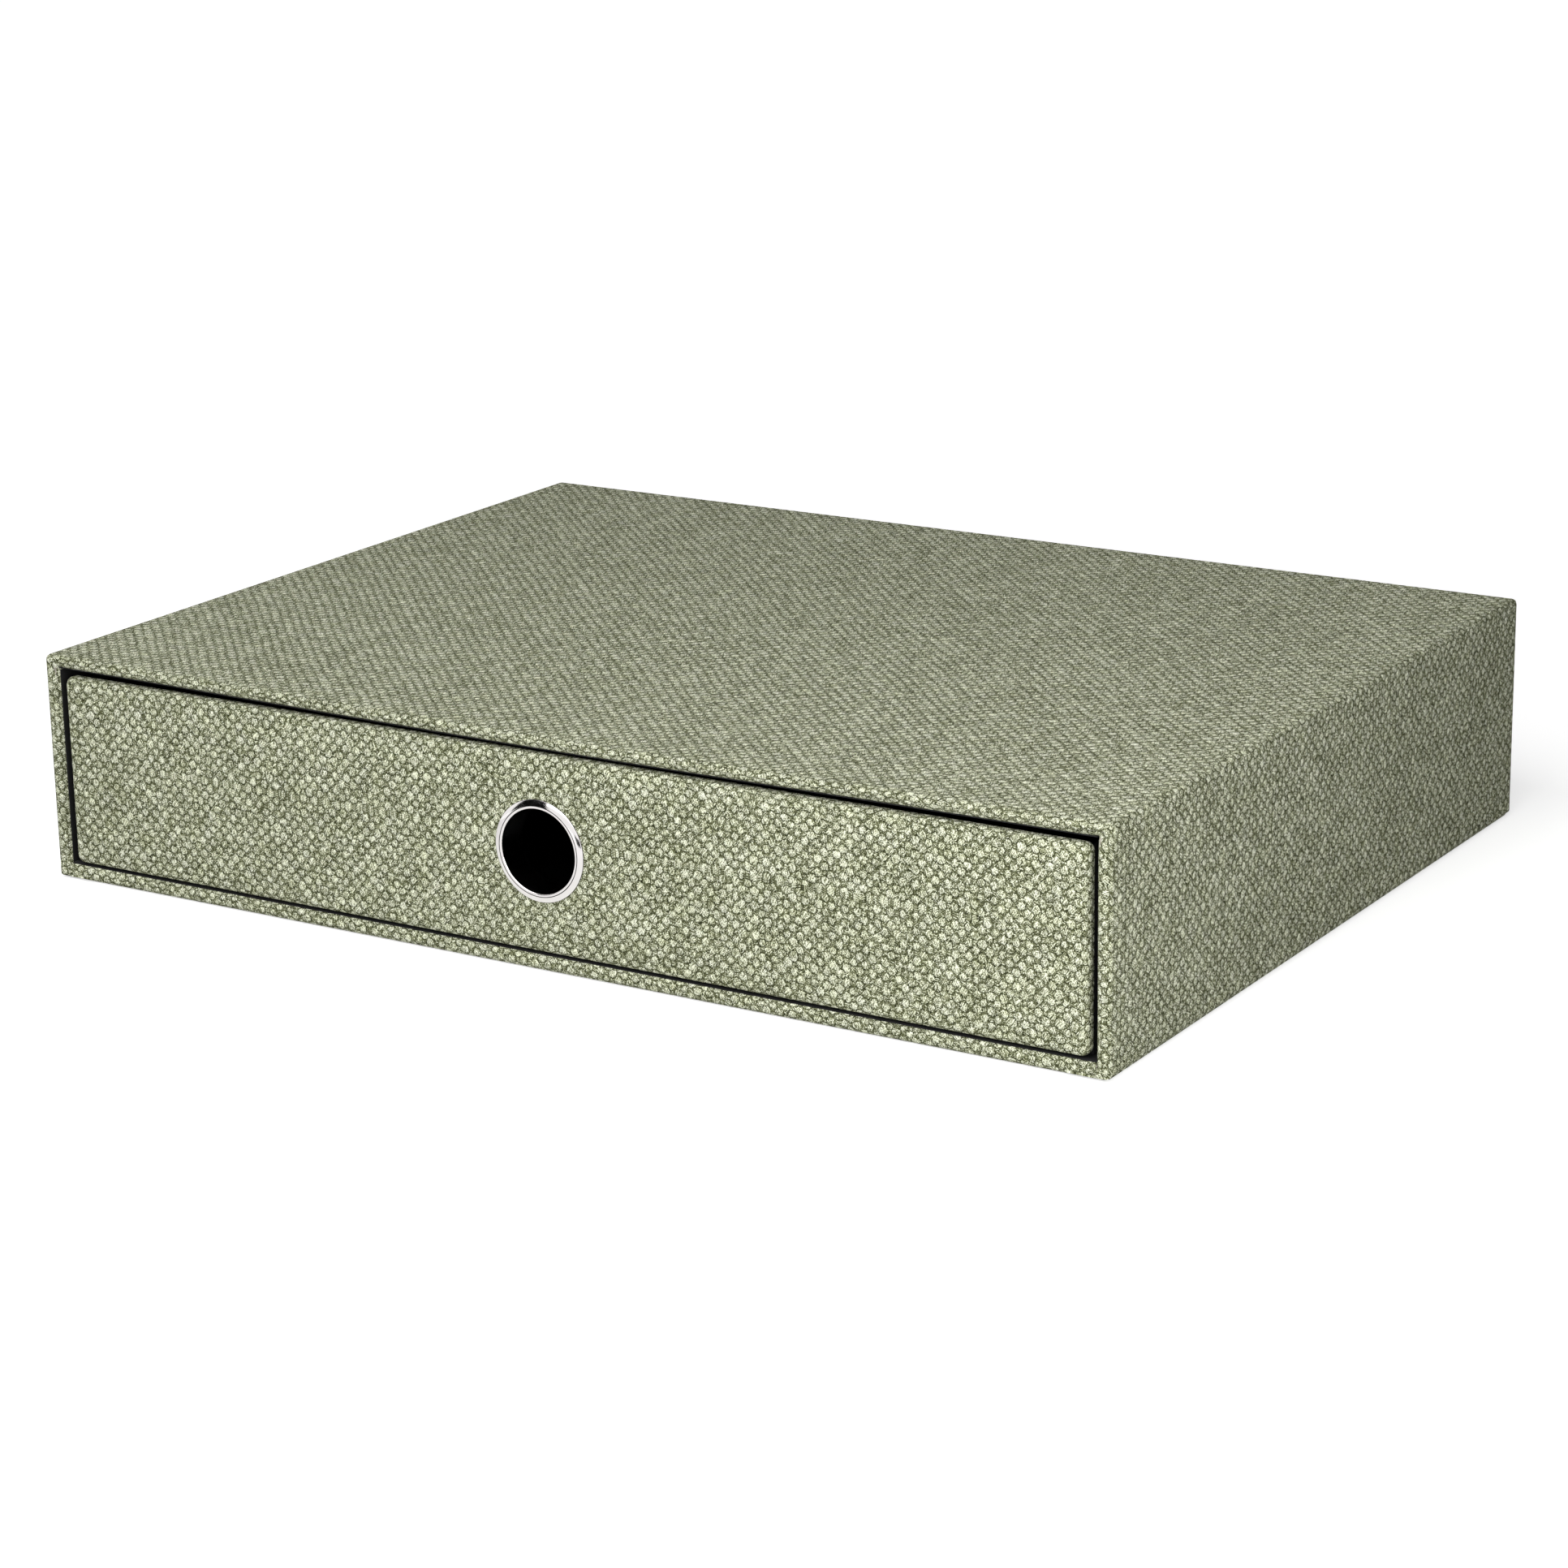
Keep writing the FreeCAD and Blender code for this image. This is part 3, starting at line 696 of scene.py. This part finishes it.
def sag_at_front(piece):
    """Lets the middle of the lid's front edge hang down a little, less and less further away."""
    casing = settings("casing")
    if bpy.context.mode == "OBJECT":
        bpy.context.view_layer.objects.active = piece
        bpy.ops.object.mode_set(mode="EDIT")

    def over_mouth(vert):
        return vert.co.z > MOUTH_ROOF - NEAR

    def from_middle(vert):
        return Vector((vert.co.x, vert.co.y - FRONT)).length

    verts = bmesh.from_edit_mesh(piece.data).verts
    nearest = min(from_middle(vert) for vert in verts if over_mouth(vert))
    choose("VERT", lambda vert: over_mouth(vert) and from_middle(vert) < nearest + SAG_CENTRE)
    bpy.ops.transform.translate(
        value=(0, 0, -casing.sag),
        use_proportional_edit=True,
        proportional_edit_falloff="SMOOTH",
        proportional_size=casing.sag_reach,
    )


def weave_on_casing(place, centre, normal):
    """The wrap's cloth coordinates: u across the lid and down the sides, v to the back."""
    from_top, from_side = TOP - place.z, SIDE - abs(place.x)
    centre_top, centre_side = TOP - centre.z, SIDE - abs(centre.x)
    sign = 1 if centre.x > 0 else -1
    if centre.z < FOLD_ZONE and normal.z < -0.3:
        return sign * (SIDE + from_side + from_top), place.y
    on_lid = centre_top < centre_side
    depth, centre_depth = (from_top, centre_top) if on_lid else (from_side, centre_side)
    if FRONT + FOLD_ZONE < centre.y < WRAP_BACK - FOLD_ZONE and centre_depth < FOLD_ZONE:
        return sign * (SIDE - from_side + from_top), place.y
    u = place.x if on_lid else sign * (SIDE + from_top)
    if centre.y > WRAP_BACK - FOLD_ZONE:
        return u, place.y + depth
    if centre_depth < FOLD_ZONE:
        return u, place.y - depth
    return u, 2 * FRONT - place.y - depth


def ease_mouth(reach):
    """Makes the lid thinner where the cloth is turned in at the mouth."""
    choose(
        "VERT",
        lambda vert: vert.co.y < TURN_IN_END + NEAR
        and MOUTH_ROOF - NEAR < vert.co.z < MOUTH_ROOF + reach + NEAR
        and abs(vert.co.x) - MOUTH_SIDE < vert.co.z - MOUTH_ROOF + NEAR,
    )
    bpy.ops.transform.translate(value=(0, 0, settings("casing").easing))


def crease_mouth_corners():
    """Pulls the cloth into a small crease at the mouth's two upper corners."""
    casing = settings("casing")
    over = MOUTH_ROOF + casing.easing + casing.fold / 2
    for sign in (-1, 1):
        corner = Vector((sign * (MOUTH_SIDE + casing.fold / 2), FRONT, over))
        nearest = min(
            (vert.co for vert in bmesh.from_edit_mesh(bpy.context.active_object.data).verts),
            key=lambda place: (place - corner).length,
        ).copy()
        choose("VERT", lambda vert: (vert.co - nearest).length < NEAR)
        bpy.ops.transform.translate(
            value=(0, casing.crease, 0),
            use_proportional_edit=True,
            proportional_edit_falloff="SPHERE",
            proportional_size=casing.fold * 1.2,
        )


def wrap_cloth():
    """The sheet over both sides and the lid, turned in at the mouth, the foot and the back."""
    casing = settings("casing")
    piece = sheet("box_wrap_cloth", (-SIDE, SIDE), (FRONT, WRAP_BACK), TOP)
    choose("EDGE", lambda edge: at(edge, x=SIDE) or at(edge, x=-SIDE))
    push(z=WRAP_FOOT - TOP)
    draw_in((0, 0, WRAP_FOOT), x=(SIDE - MARGIN) / SIDE)
    choose("EDGE", lambda edge: at(edge, y=FRONT) and not at(edge, z=WRAP_FOOT))
    height = TOP - WRAP_FOOT
    draw_in((0, FRONT, WRAP_FOOT), x=MOUTH_SIDE / SIDE, z=(MOUTH_ROOF - WRAP_FOOT) / height)
    push(y=TURN_IN_END - FRONT)
    choose("EDGE", lambda edge: at(edge, y=WRAP_BACK) and not at(edge, z=WRAP_FOOT))
    draw_in(
        (0, WRAP_BACK, WRAP_FOOT), x=(SIDE - MARGIN) / SIDE, z=(TOP - MARGIN - WRAP_FOOT) / height
    )
    cut("z", (BASE_FLOOR,))
    remove_faces(
        lambda face: middle(face).z < BASE_FLOOR
        and abs(abs(middle(face).x) - MOUTH_SIDE) < NEAR
        and abs(face.normal.x) > 0.9
    )
    soften(square_and_convex, casing.fold)
    cut("x", spaced(-SIDE, SIDE, GRID))
    cut("y", spaced(FRONT, WRAP_BACK, GRID))
    cut("z", spaced(WRAP_FOOT, TOP, GRID))
    lay_weave(piece, weave_on_casing)
    bpy.ops.object.mode_set(mode="EDIT")
    ease_mouth(casing.fold)
    crease_mouth_corners()
    sag_at_front(piece)
    thicken(piece, casing.cloth)
    hand_over(piece, "casing", "woven_cloth", "casing_wrap_cloth")


def weave_on_base(place, centre, normal):
    """The base cloth's coordinates: u across, v to the back, the turned-up parts laid flat."""
    if place.y < 0 and centre.y < TURN_IN_END and place.z > MOUTH_FLOOR / 2:
        return place.x, 2 * FRONT - place.y - place.z
    return place.x, place.y + (place.z if place.y > 0 else -place.z)


def base_cloth():
    """The sheet on the underside, turned up over the base board's front edge and onto the back."""
    casing = settings("casing")
    underside = high("casing_base_cloth").x
    inner_side = SIDE - MARGIN
    edge_front, edge_back = FRONT + 0.0022, WRAP_BACK - 0.0008  # room for the folds
    piece = sheet("box_base_cloth", (-underside, underside), (edge_front, edge_back), 0)
    bpy.ops.mesh.flip_normals()
    cut("x", (-MOUTH_SIDE, MOUTH_SIDE, -inner_side, inner_side))
    choose("EDGE", lambda edge: at(edge, y=edge_front) and abs(middle(edge).x) < MOUTH_SIDE)
    push(y=FRONT - edge_front)
    push(z=MOUTH_FLOOR)
    push(y=TURN_IN_END - FRONT)
    choose("EDGE", lambda edge: at(edge, y=edge_back) and abs(middle(edge).x) < inner_side)
    push(y=WRAP_BACK - edge_back)
    push(z=MARGIN)
    soften(lambda edge: square_and_convex(edge) and middle(edge).y < 0, casing.fold)
    soften(square_and_convex, (WRAP_BACK - edge_back) * 0.9)
    cut("x", spaced(-underside, underside, BASE_GRID))
    lay_weave(piece, weave_on_base)
    thicken(piece, casing.cloth)
    hand_over(piece, "casing", "woven_cloth", "casing_base_cloth")


def back_cloth():
    """The sheet on the back, pasted over the turned margins."""
    lowest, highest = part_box("casing_back_cloth")
    half_way = (lowest.y + highest.y) / 2
    piece = block("box_back_cloth", lowest, highest)
    soften(
        lambda edge: at(edge, y=highest.y) or abs(middle(edge).y - half_way) < NEAR,
        0.0002,
        segments=2,
    )
    cut("x", spaced(lowest.x, highest.x, BACK_GRID))
    lay_weave(piece, lambda place, centre, normal: (-place.x, place.z - (BACK - place.y)))
    hand_over(piece, "casing", "woven_cloth", "casing_back_cloth")


def lid_board():
    """The lid's board, thinner at the mouth and rounded under the cloth's folds."""
    casing = settings("casing")
    lowest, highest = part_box("casing_top_board")
    piece = block("lid_board", lowest, highest)
    cut("x", spaced(lowest.x, highest.x, GRID))
    cut("y", spaced(lowest.y, highest.y, GRID))
    cut("y", (TURN_IN_END,))
    choose("VERT", lambda vert: vert.co.y < TURN_IN_END + NEAR and at(vert, z=lowest.z))
    bpy.ops.transform.translate(value=(0, 0, casing.easing))
    soften(lambda edge: at(edge, y=lowest.y), casing.fold - casing.cloth, segments=2)
    sag_at_front(piece)
    hand_over(piece, "casing", "greyboard", "casing_top_board")


def casing_linings():
    """Black paper inside the casing, lapped over the turned-in cloth nearly to the mouth."""
    casing = settings("casing")
    over = casing.cloth
    paper = high("casing_floor_lining").z - low("casing_floor_lining").z
    thin = paper * 0.4  # over the cloth that the drawer runs on
    side = high("casing_floor_lining").x - paper
    back = high("casing_floor_lining").y
    # lapped this near the mouth, the black paper is real lining and also stands in for the shade in
    # the gaps round the drawer front
    front = FRONT + casing.lining_setback
    step = TURN_IN_END + 0.0008  # from here the paper climbs onto the cloth
    floor_face, roof_face = high("casing_floor_lining").z, low("casing_roof_lining").z
    height = roof_face - floor_face
    narrower = ((side - over) / side, 1, 1)

    def lap(smaller, middle_z=0, setback=0, x=0, z=0):
        """Leads the front edge onto the turned-in cloth and along it towards the mouth."""
        choose("EDGE", lambda edge: at(edge, y=step))
        push(x=x, y=TURN_IN_END - step, z=z)
        bpy.ops.transform.resize(value=smaller, center_override=(0, 0, middle_z))
        push(y=front + setback - TURN_IN_END)

    piece = sheet("lining_floor", (-side, side), (step, back), floor_face)
    lap(narrower, z=MOUTH_FLOOR + thin - floor_face)
    thicken(piece, thin)
    hand_over(piece, "casing", "black_paper", "casing_floor_lining")

    piece = sheet("lining_roof", (-side, side), (step, back), roof_face)
    bpy.ops.mesh.flip_normals()
    lap(narrower, z=casing.easing - over)
    cut("x", spaced(-side, side, GRID))
    cut("y", spaced(front, back, GRID))
    sag_at_front(piece)
    thicken(piece, paper)
    hand_over(piece, "casing", "black_paper", "casing_roof_lining")

    for word, sign in (("left", -1), ("right", 1)):
        piece = sheet(f"lining_{word}", (-side, side), (step, back), floor_face)
        choose("EDGE", lambda edge: at(edge, x=sign * side))
        push(z=height)
        remove_faces(lambda face: abs(face.normal.z) > 0.5)
        choose("FACE", lambda face: True)
        if next(iter(bmesh.from_edit_mesh(piece.data).faces)).normal.x * sign > 0:
            bpy.ops.mesh.flip_normals()
        lap(
            (1, 1, (height - 2 * over) / height),
            middle_z=(floor_face + roof_face) / 2,
            setback=casing.side_setback,
            x=-sign * over,
        )
        thicken(piece, paper)
        hand_over(piece, "casing", "black_paper", f"casing_{word}_lining")


# -------- drawer


def drawer_front_box(lowest, highest):
    """A node's box, lowered by the panel's drop and with the padding in front."""
    drawer = settings("drawer")
    return lowest - Vector((0, drawer.padding, drawer.drop)), highest - Vector((0, 0, drawer.drop))


def weave_on_panel(place, centre, normal):
    """The panel's cloth coordinates: the front as it is, and the folds laid flat round it."""
    lowest, highest = PANEL_LOW, PANEL_HIGH
    from_side = highest.x - abs(place.x)
    from_end = min(highest.z - place.z, place.z - lowest.z)
    round_the_edge = place.y - lowest.y
    sign_x = 1 if centre.x > 0 else -1
    sign_z = 1 if centre.z > (lowest.z + highest.z) / 2 else -1
    centre_side = highest.x - abs(centre.x)
    centre_end = min(highest.z - centre.z, centre.z - lowest.z)
    turned_in = centre.y > highest.y - TURN_IN_ZONE and abs(normal.y) > 0.5
    if centre_side < centre_end:
        behind = from_side if turned_in else 0
        return place.x + sign_x * (round_the_edge + 2 * behind), place.z
    behind = from_end if turned_in else 0
    return place.x, place.z + sign_z * (round_the_edge + 2 * behind)


def points_back(edge):
    one, other = edge.verts
    return abs((one.co - other.co).normalized().y) > 0.9


def panel_cloth():
    """The cloth on the drawer's front, turned in behind it, with the eyelet's hole."""
    drawer = settings("drawer")
    lowest, highest = drawer_front_box(PANEL_LOW, PANEL_HIGH)
    piece = block("drawer_front_cloth", lowest, highest)
    choose("FACE", lambda face: face.normal.y > 0.9)
    bpy.ops.mesh.inset(thickness=drawer.turn_in)
    bpy.ops.mesh.delete(type="FACE")
    soften(lambda edge: square_and_convex(edge) and points_back(edge), drawer.corner, segments=6)
    soften(square_and_convex, drawer.fold)
    cut("x", spaced(lowest.x, highest.x, GRID))
    cut("z", spaced(lowest.z, highest.z, GRID))
    lay_weave(piece, weave_on_panel)
    thicken(piece, settings("casing").cloth, even=False)
    drill_for_eyelet(piece, (lowest.y + highest.y) / 2, THROUGH_PANEL)
    hand_over(piece, "drawer", "woven_cloth", "drawer_panel_cloth")


def panel_board():
    """The board behind the drawer front's cloth, its edges a little rounded under the folds."""
    lowest, highest = drawer_front_box(*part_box("drawer_panel_board"))
    piece = block("drawer_front_board", lowest, highest)
    under_fold = settings("drawer").fold - settings("casing").cloth
    soften(lambda edge: True, under_fold, segments=2)
    drill_for_eyelet(piece, (lowest.y + highest.y) / 2, THROUGH_PANEL)
    hand_over(piece, "drawer", "greyboard", "drawer_panel_board")


def tray_paper():
    """Black paper over the tray's outside, round its rim and down inside."""
    drawer = settings("drawer")
    lowest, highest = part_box("drawer_wrap_paper")
    inside_low, inside_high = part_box("drawer_wall_lining")
    thickness = 0.0002
    inner_x = inside_high.x - thickness
    inner_front, inner_back = inside_low.y + thickness, inside_high.y - thickness
    piece = block("tray_wrap_paper", lowest, highest)
    remove_faces(lambda face: face.normal.z > 0.9)
    choose("EDGE", lambda edge: at(edge, z=highest.z))
    outer_depth, inner_depth = highest.y - lowest.y, inner_back - inner_front
    share = inner_depth / outer_depth
    fixed_y = (inner_front - share * lowest.y) / (1 - share)
    draw_in((0, fixed_y, highest.z), x=inner_x / highest.x, y=share)
    push(z=inside_high.z - highest.z)
    soften(square_and_convex, drawer.paper_fold, segments=3)
    thicken(piece, thickness)
    drill_for_eyelet(piece, lowest.y, THROUGH_PAPER)
    hand_over(piece, "drawer", "black_paper", "drawer_wrap_paper")


# -------- eyelet


def spin_profile(name, profile):
    """Turns a closed outline of (radius, y) points about the eyelet's axis."""
    begin()
    radius, y = profile[0]
    bpy.ops.mesh.primitive_plane_add(size=0.001, location=(EYELET.x + radius, y, EYELET.z))
    piece = start(name)
    bpy.ops.mesh.select_mode(type="VERT")
    choose_all()
    bpy.ops.mesh.merge(type="CENTER")
    for before, after in zip(profile, profile[1:] + profile[:1]):
        push(x=after[0] - before[0], y=after[1] - before[1])
    choose_all()
    bpy.ops.mesh.remove_doubles(threshold=1e-6)
    choose_all()
    bpy.ops.mesh.spin(
        steps=ROUND_STEPS, angle=math.tau, center=(EYELET.x, 0, EYELET.z), axis=(0, 1, 0)
    )
    choose_all()
    bpy.ops.mesh.remove_doubles(threshold=2e-6)
    choose_all()
    bpy.ops.mesh.normals_make_consistent(inside=False)
    return piece


def arc(centre, radius, first, last, count):
    """Points on an arc in the (radius, y) plane, with angles in degrees from +radius towards +y."""
    angles = [math.radians(first + (last - first) * step / count) for step in range(count + 1)]
    return [
        (centre[0] + radius * math.cos(angle), centre[1] + radius * math.sin(angle))
        for angle in angles
    ]


def eyelet_ring():
    """The sloped and creased flange, the lip, the barrel and its rolled end."""
    eyelet = settings("eyelet")
    lowest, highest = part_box("eyelet_ring")
    rim = highest.x - EYELET.x
    front = lowest.y - settings("drawer").padding
    face, end = front + eyelet.flange_height, highest.y
    outer = BORE + eyelet.wall
    mouth = BORE + eyelet.flare + eyelet.lip
    crease = BORE + eyelet.crease_reach
    half_crease, roll_gap, lip_run = 0.0001, 0.0002, 0.002
    inside = crease + half_crease
    width = rim - eyelet.edge * (1 - math.sin(eyelet.outer_slope)) - inside
    fall = math.tan(eyelet.inner_slope)
    more = math.tan(eyelet.outer_slope) - fall
    face_line = [
        (inside + width * share, front + width * share * (fall + more * share / 2))
        for share in (number / 12 for number in range(12, -1, -1))
    ]
    edge_y = face_line[0][1] + eyelet.edge * math.cos(eyelet.outer_slope)
    steep = math.degrees(eyelet.outer_slope) - 90
    roll = (outer - eyelet.wall + eyelet.roll + roll_gap, end - eyelet.roll)
    profile = [(rim, face)]
    profile += arc((rim - eyelet.edge, edge_y), eyelet.edge, 0, steep, 5)[:-1]
    profile += face_line
    profile += [(crease, front + eyelet.crease_depth), (crease - half_crease, front)]
    profile += arc((mouth, front + eyelet.lip), eyelet.lip, -90, -180, 6)
    profile += [(BORE, front + eyelet.lip + lip_run), (BORE, end - eyelet.roll)]
    profile += arc(roll, eyelet.roll, 165, -60, 12)
    profile += [(outer, end - 2 * eyelet.roll), (outer, face)]
    piece = spin_profile("finger_eyelet", profile)
    hand_over(piece, "drawer", "chromed_steel", "eyelet_ring")


def eyelet_washer():
    """The flat ring that the barrel is rolled over, its outer edges eased."""
    lowest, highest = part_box("eyelet_washer")
    rim, hole = highest.x - EYELET.x, barrel_hole()
    ease = 0.00012
    profile = [
        (hole, lowest.y),
        (rim - ease, lowest.y),
        (rim, lowest.y + ease),
        (rim, highest.y - ease),
        (rim - ease, highest.y),
        (hole, highest.y),
    ]
    piece = spin_profile("finger_eyelet_washer", profile)
    hand_over(piece, "drawer", "chromed_steel", "eyelet_washer")


def finish_kept_nodes():
    """The CAD nodes that stay get their slot's finish."""
    slots = {row["node"]: row["material_slot"] for row in frame["record"]["subparts"]}
    for name, node in frame["nodes"].items():
        node.data.materials.clear()
        node.data.materials.append(FINISH_OF_SLOT[slots[name]]())


# -------- stage


LENS = 93.6
CAMERA_TURN = (32.238, 16.687, -1.012)  # round the part, down onto it, and tilt, in degrees
CAMERA_TARGET, CAMERA_DISTANCE = (-0.005247, 0.002617, 0.016722), 1.17214
LAMPS = (  # name, place, what it points at, size
    ("Key", (-0.054, -0.7, 0.763), (0, 0, 0.03), 1.0),
    ("Side", (0.45, -0.366, 0.245), (0, 0, 0.03), 0.3),
    ("Overhead", (0, -0.3, 1.3), (0, 0, 0), 1.2),
)
CARDS = (  # name, direction from the eyelet, distance, width, height
    ("card_upper_left", (-0.60, -0.70, 0.38), 0.75, 0.4, 0.62),
    ("card_right", (0.2, -0.97, -0.04), 0.3, 0.09, 0.045),
)


def place_on_stage(name, data):
    piece = bpy.data.objects.new(name, data)
    bpy.context.scene.collection.objects.link(piece)
    return piece


def camera():
    data = bpy.data.cameras.new("Photograph")
    data.sensor_width = 36
    data.lens = LENS
    data.clip_start, data.clip_end = 0.05, 60
    piece = place_on_stage("Photograph", data)
    azimuth, elevation, roll = (math.radians(value) for value in CAMERA_TURN)
    flat = math.cos(elevation)
    forward = Vector((-math.sin(azimuth) * flat, math.cos(azimuth) * flat, -math.sin(elevation)))
    level = Vector((math.cos(azimuth), math.sin(azimuth), 0))
    upright = level.cross(forward)
    right = level * math.cos(roll) + upright * math.sin(roll)
    up = upright * math.cos(roll) - level * math.sin(roll)
    turn = Matrix((right, up, -forward)).transposed().to_4x4()
    place = Vector(CAMERA_TARGET) - forward * CAMERA_DISTANCE
    piece.matrix_world = Matrix.Translation(place) @ turn
    bpy.context.scene.camera = piece


def lamp(name, place, target, size, watts):
    data = bpy.data.lights.new(name, "AREA")
    data.shape = "SQUARE"
    data.size = size
    data.energy = watts
    piece = place_on_stage(name, data)
    piece.location = place
    piece.rotation_euler = (Vector(target) - Vector(place)).to_track_quat("-Z", "Y").to_euler()


def stage_plane(name, size):
    begin()
    bpy.ops.mesh.primitive_plane_add(size=size)
    piece = bpy.context.active_object
    piece.name = piece.data.name = name
    return piece


def black_card(name, towards, distance, width, height):
    """A dark card beside the lamps that only polished metal sees, as in a studio's dark corners."""
    piece = stage_plane(name, 1)
    towards = Vector(towards).normalized()
    piece.scale = (width, height, 1)
    piece.rotation_euler = towards.to_track_quat("Z", "Y").to_euler()
    piece.location = EYELET + towards * distance
    bpy.ops.object.transform_apply(location=True, rotation=True, scale=True)
    f = Finish(name)
    f.set(Base_Color=(0.004, 0.004, 0.004, 1), Roughness=1.0, Specular_IOR_Level=0)
    piece.data.materials.append(f.material)
    piece.visible_camera = piece.visible_diffuse = piece.visible_shadow = False
    piece.visible_transmission = piece.visible_volume_scatter = False


def white_to_the_eye(f):
    """1 where a camera, mirror or glass ray looks."""
    rays = f.node("LightPath").outputs
    value = rays["Is Camera Ray"]
    for name in ("Is Glossy Ray", "Is Transmission Ray"):
        value = f.math("MAXIMUM", value, rays[name])
    return value


def world(fill):
    """Even light from all round, and white where the background is seen."""
    sky = bpy.data.worlds.new("Studio")
    bpy.context.scene.world = sky
    f = Nodes(sky)
    light = f.tree.nodes["Background"].inputs
    f.feed(light["Color"], (1, 1, 1, 1))
    f.feed(light["Strength"], f.math("MULTIPLY_ADD", white_to_the_eye(f), 1 - fill, fill))


def floor(tone):
    """A pale floor that takes the part's shadow and turns white further away."""
    piece = stage_plane("floor", 14)
    piece.location = (0, 0, -0.0002)
    bpy.ops.object.transform_apply(location=True)
    f = Finish("pale_floor")
    f.set(Base_Color=(*tone, 1), Roughness=1.0, Specular_IOR_Level=0)
    f.set(Emission_Color=(1, 1, 1, 1))
    away = f.vector("LENGTH", f.node("TexCoord").outputs["Object"])
    glow = f.spread(away, 0.15, 0.9, 0.6, 0.93)
    in_metal = f.spread(away, 0.4, 1.3, 0.18, 0.98)
    mirrored = f.node("LightPath").outputs["Is Glossy Ray"]
    less = f.math("MULTIPLY", mirrored, f.math("SUBTRACT", in_metal, glow))
    glow = f.math("ADD", glow, less)
    f.set(Emission_Strength=f.math("MULTIPLY", white_to_the_eye(f), glow))
    piece.data.materials.append(f.material)


# -------- operators


class Step(bpy.types.Operator):
    bl_options = {"REGISTER", "UNDO"}
    makers = ()

    def execute(self, context):
        for make in self.makers:
            make()
        return {"FINISHED"}


class FILEBOX_OT_kept_nodes(Step):
    """Give the boards and flat linings that stay from the CAD model their finishes"""

    bl_idname = "filebox.kept_nodes"
    bl_label = "Boards and flat linings"
    makers = (finish_kept_nodes,)


class FILEBOX_OT_casing_cloth(Step):
    """Wrap the casing in cloth"""

    bl_idname = "filebox.casing_cloth"
    bl_label = "Casing cloth"
    makers = (wrap_cloth, base_cloth, back_cloth)


class FILEBOX_OT_lid(Step):
    """Lay the lid's board, with its slight sag"""

    bl_idname = "filebox.lid"
    bl_label = "Lid board"
    makers = (lid_board,)


class FILEBOX_OT_casing_linings(Step):
    """Line the casing with black paper"""

    bl_idname = "filebox.casing_linings"
    bl_label = "Casing linings"
    makers = (casing_linings,)


class FILEBOX_OT_drawer_front(Step):
    """Cover the drawer's front with cloth"""

    bl_idname = "filebox.drawer_front"
    bl_label = "Drawer front"
    makers = (panel_cloth, panel_board)


class FILEBOX_OT_tray(Step):
    """Line the tray with black paper"""

    bl_idname = "filebox.tray"
    bl_label = "Tray paper"
    makers = (tray_paper,)


class FILEBOX_OT_eyelet(Step):
    """Turn the finger eyelet and its washer"""

    bl_idname = "filebox.eyelet"
    bl_label = "Finger eyelet"
    makers = (eyelet_ring, eyelet_washer)


class FILEBOX_OT_stage(Step):
    """Set the floor, the lamps, the world and the camera"""

    bl_idname = "filebox.stage"
    bl_label = "Stage"

    def execute(self, context):
        stage = settings("stage")
        context.scene.view_settings.view_transform = "Standard"
        world(stage.fill)
        floor(tuple(stage.floor))
        for name, place, target, size in LAMPS:
            lamp(name, place, target, size, getattr(stage, name.lower()))
        for card in CARDS:
            black_card(*card)
        camera()
        return {"FINISHED"}


class FILEBOX_PT_panel(bpy.types.Panel):
    bl_idname = "FILEBOX_PT_panel"
    bl_label = "File box with drawer"
    bl_space_type = "VIEW_3D"
    bl_region_type = "UI"
    bl_category = "File Box"

    def draw(self, context):
        for name, _ in GROUPS:
            box = self.layout.box()
            box.label(text=name.title())
            group = settings(name)
            for field in group.__annotations__:
                box.prop(group, field)
        for step in STEPS:
            self.layout.operator(step.bl_idname)


GROUPS = (
    ("casing", FILEBOX_PG_casing),
    ("drawer", FILEBOX_PG_drawer),
    ("eyelet", FILEBOX_PG_eyelet),
    ("finishes", FILEBOX_PG_finishes),
    ("stage", FILEBOX_PG_stage),
)
STEPS = (
    FILEBOX_OT_kept_nodes,
    FILEBOX_OT_casing_cloth,
    FILEBOX_OT_lid,
    FILEBOX_OT_casing_linings,
    FILEBOX_OT_drawer_front,
    FILEBOX_OT_tray,
    FILEBOX_OT_eyelet,
    FILEBOX_OT_stage,
)


def register():
    for name, group in GROUPS:
        bpy.utils.register_class(group)
        setattr(bpy.types.Scene, "filebox_" + name, bpy.props.PointerProperty(type=group))
    for step in STEPS:
        bpy.utils.register_class(step)
    bpy.utils.register_class(FILEBOX_PT_panel)


def unregister():
    bpy.utils.unregister_class(FILEBOX_PT_panel)
    for step in reversed(STEPS):
        bpy.utils.unregister_class(step)
    for name, group in reversed(GROUPS):
        delattr(bpy.types.Scene, "filebox_" + name)
        bpy.utils.unregister_class(group)


def main():
    register()
    bpy.ops.filebox.kept_nodes()
    bpy.ops.filebox.casing_cloth()
    bpy.ops.filebox.lid()
    bpy.ops.filebox.casing_linings()
    bpy.ops.filebox.drawer_front()
    bpy.ops.filebox.tray()
    bpy.ops.filebox.eyelet()
    bpy.ops.filebox.stage()


if __name__ == "__main__":
    main()
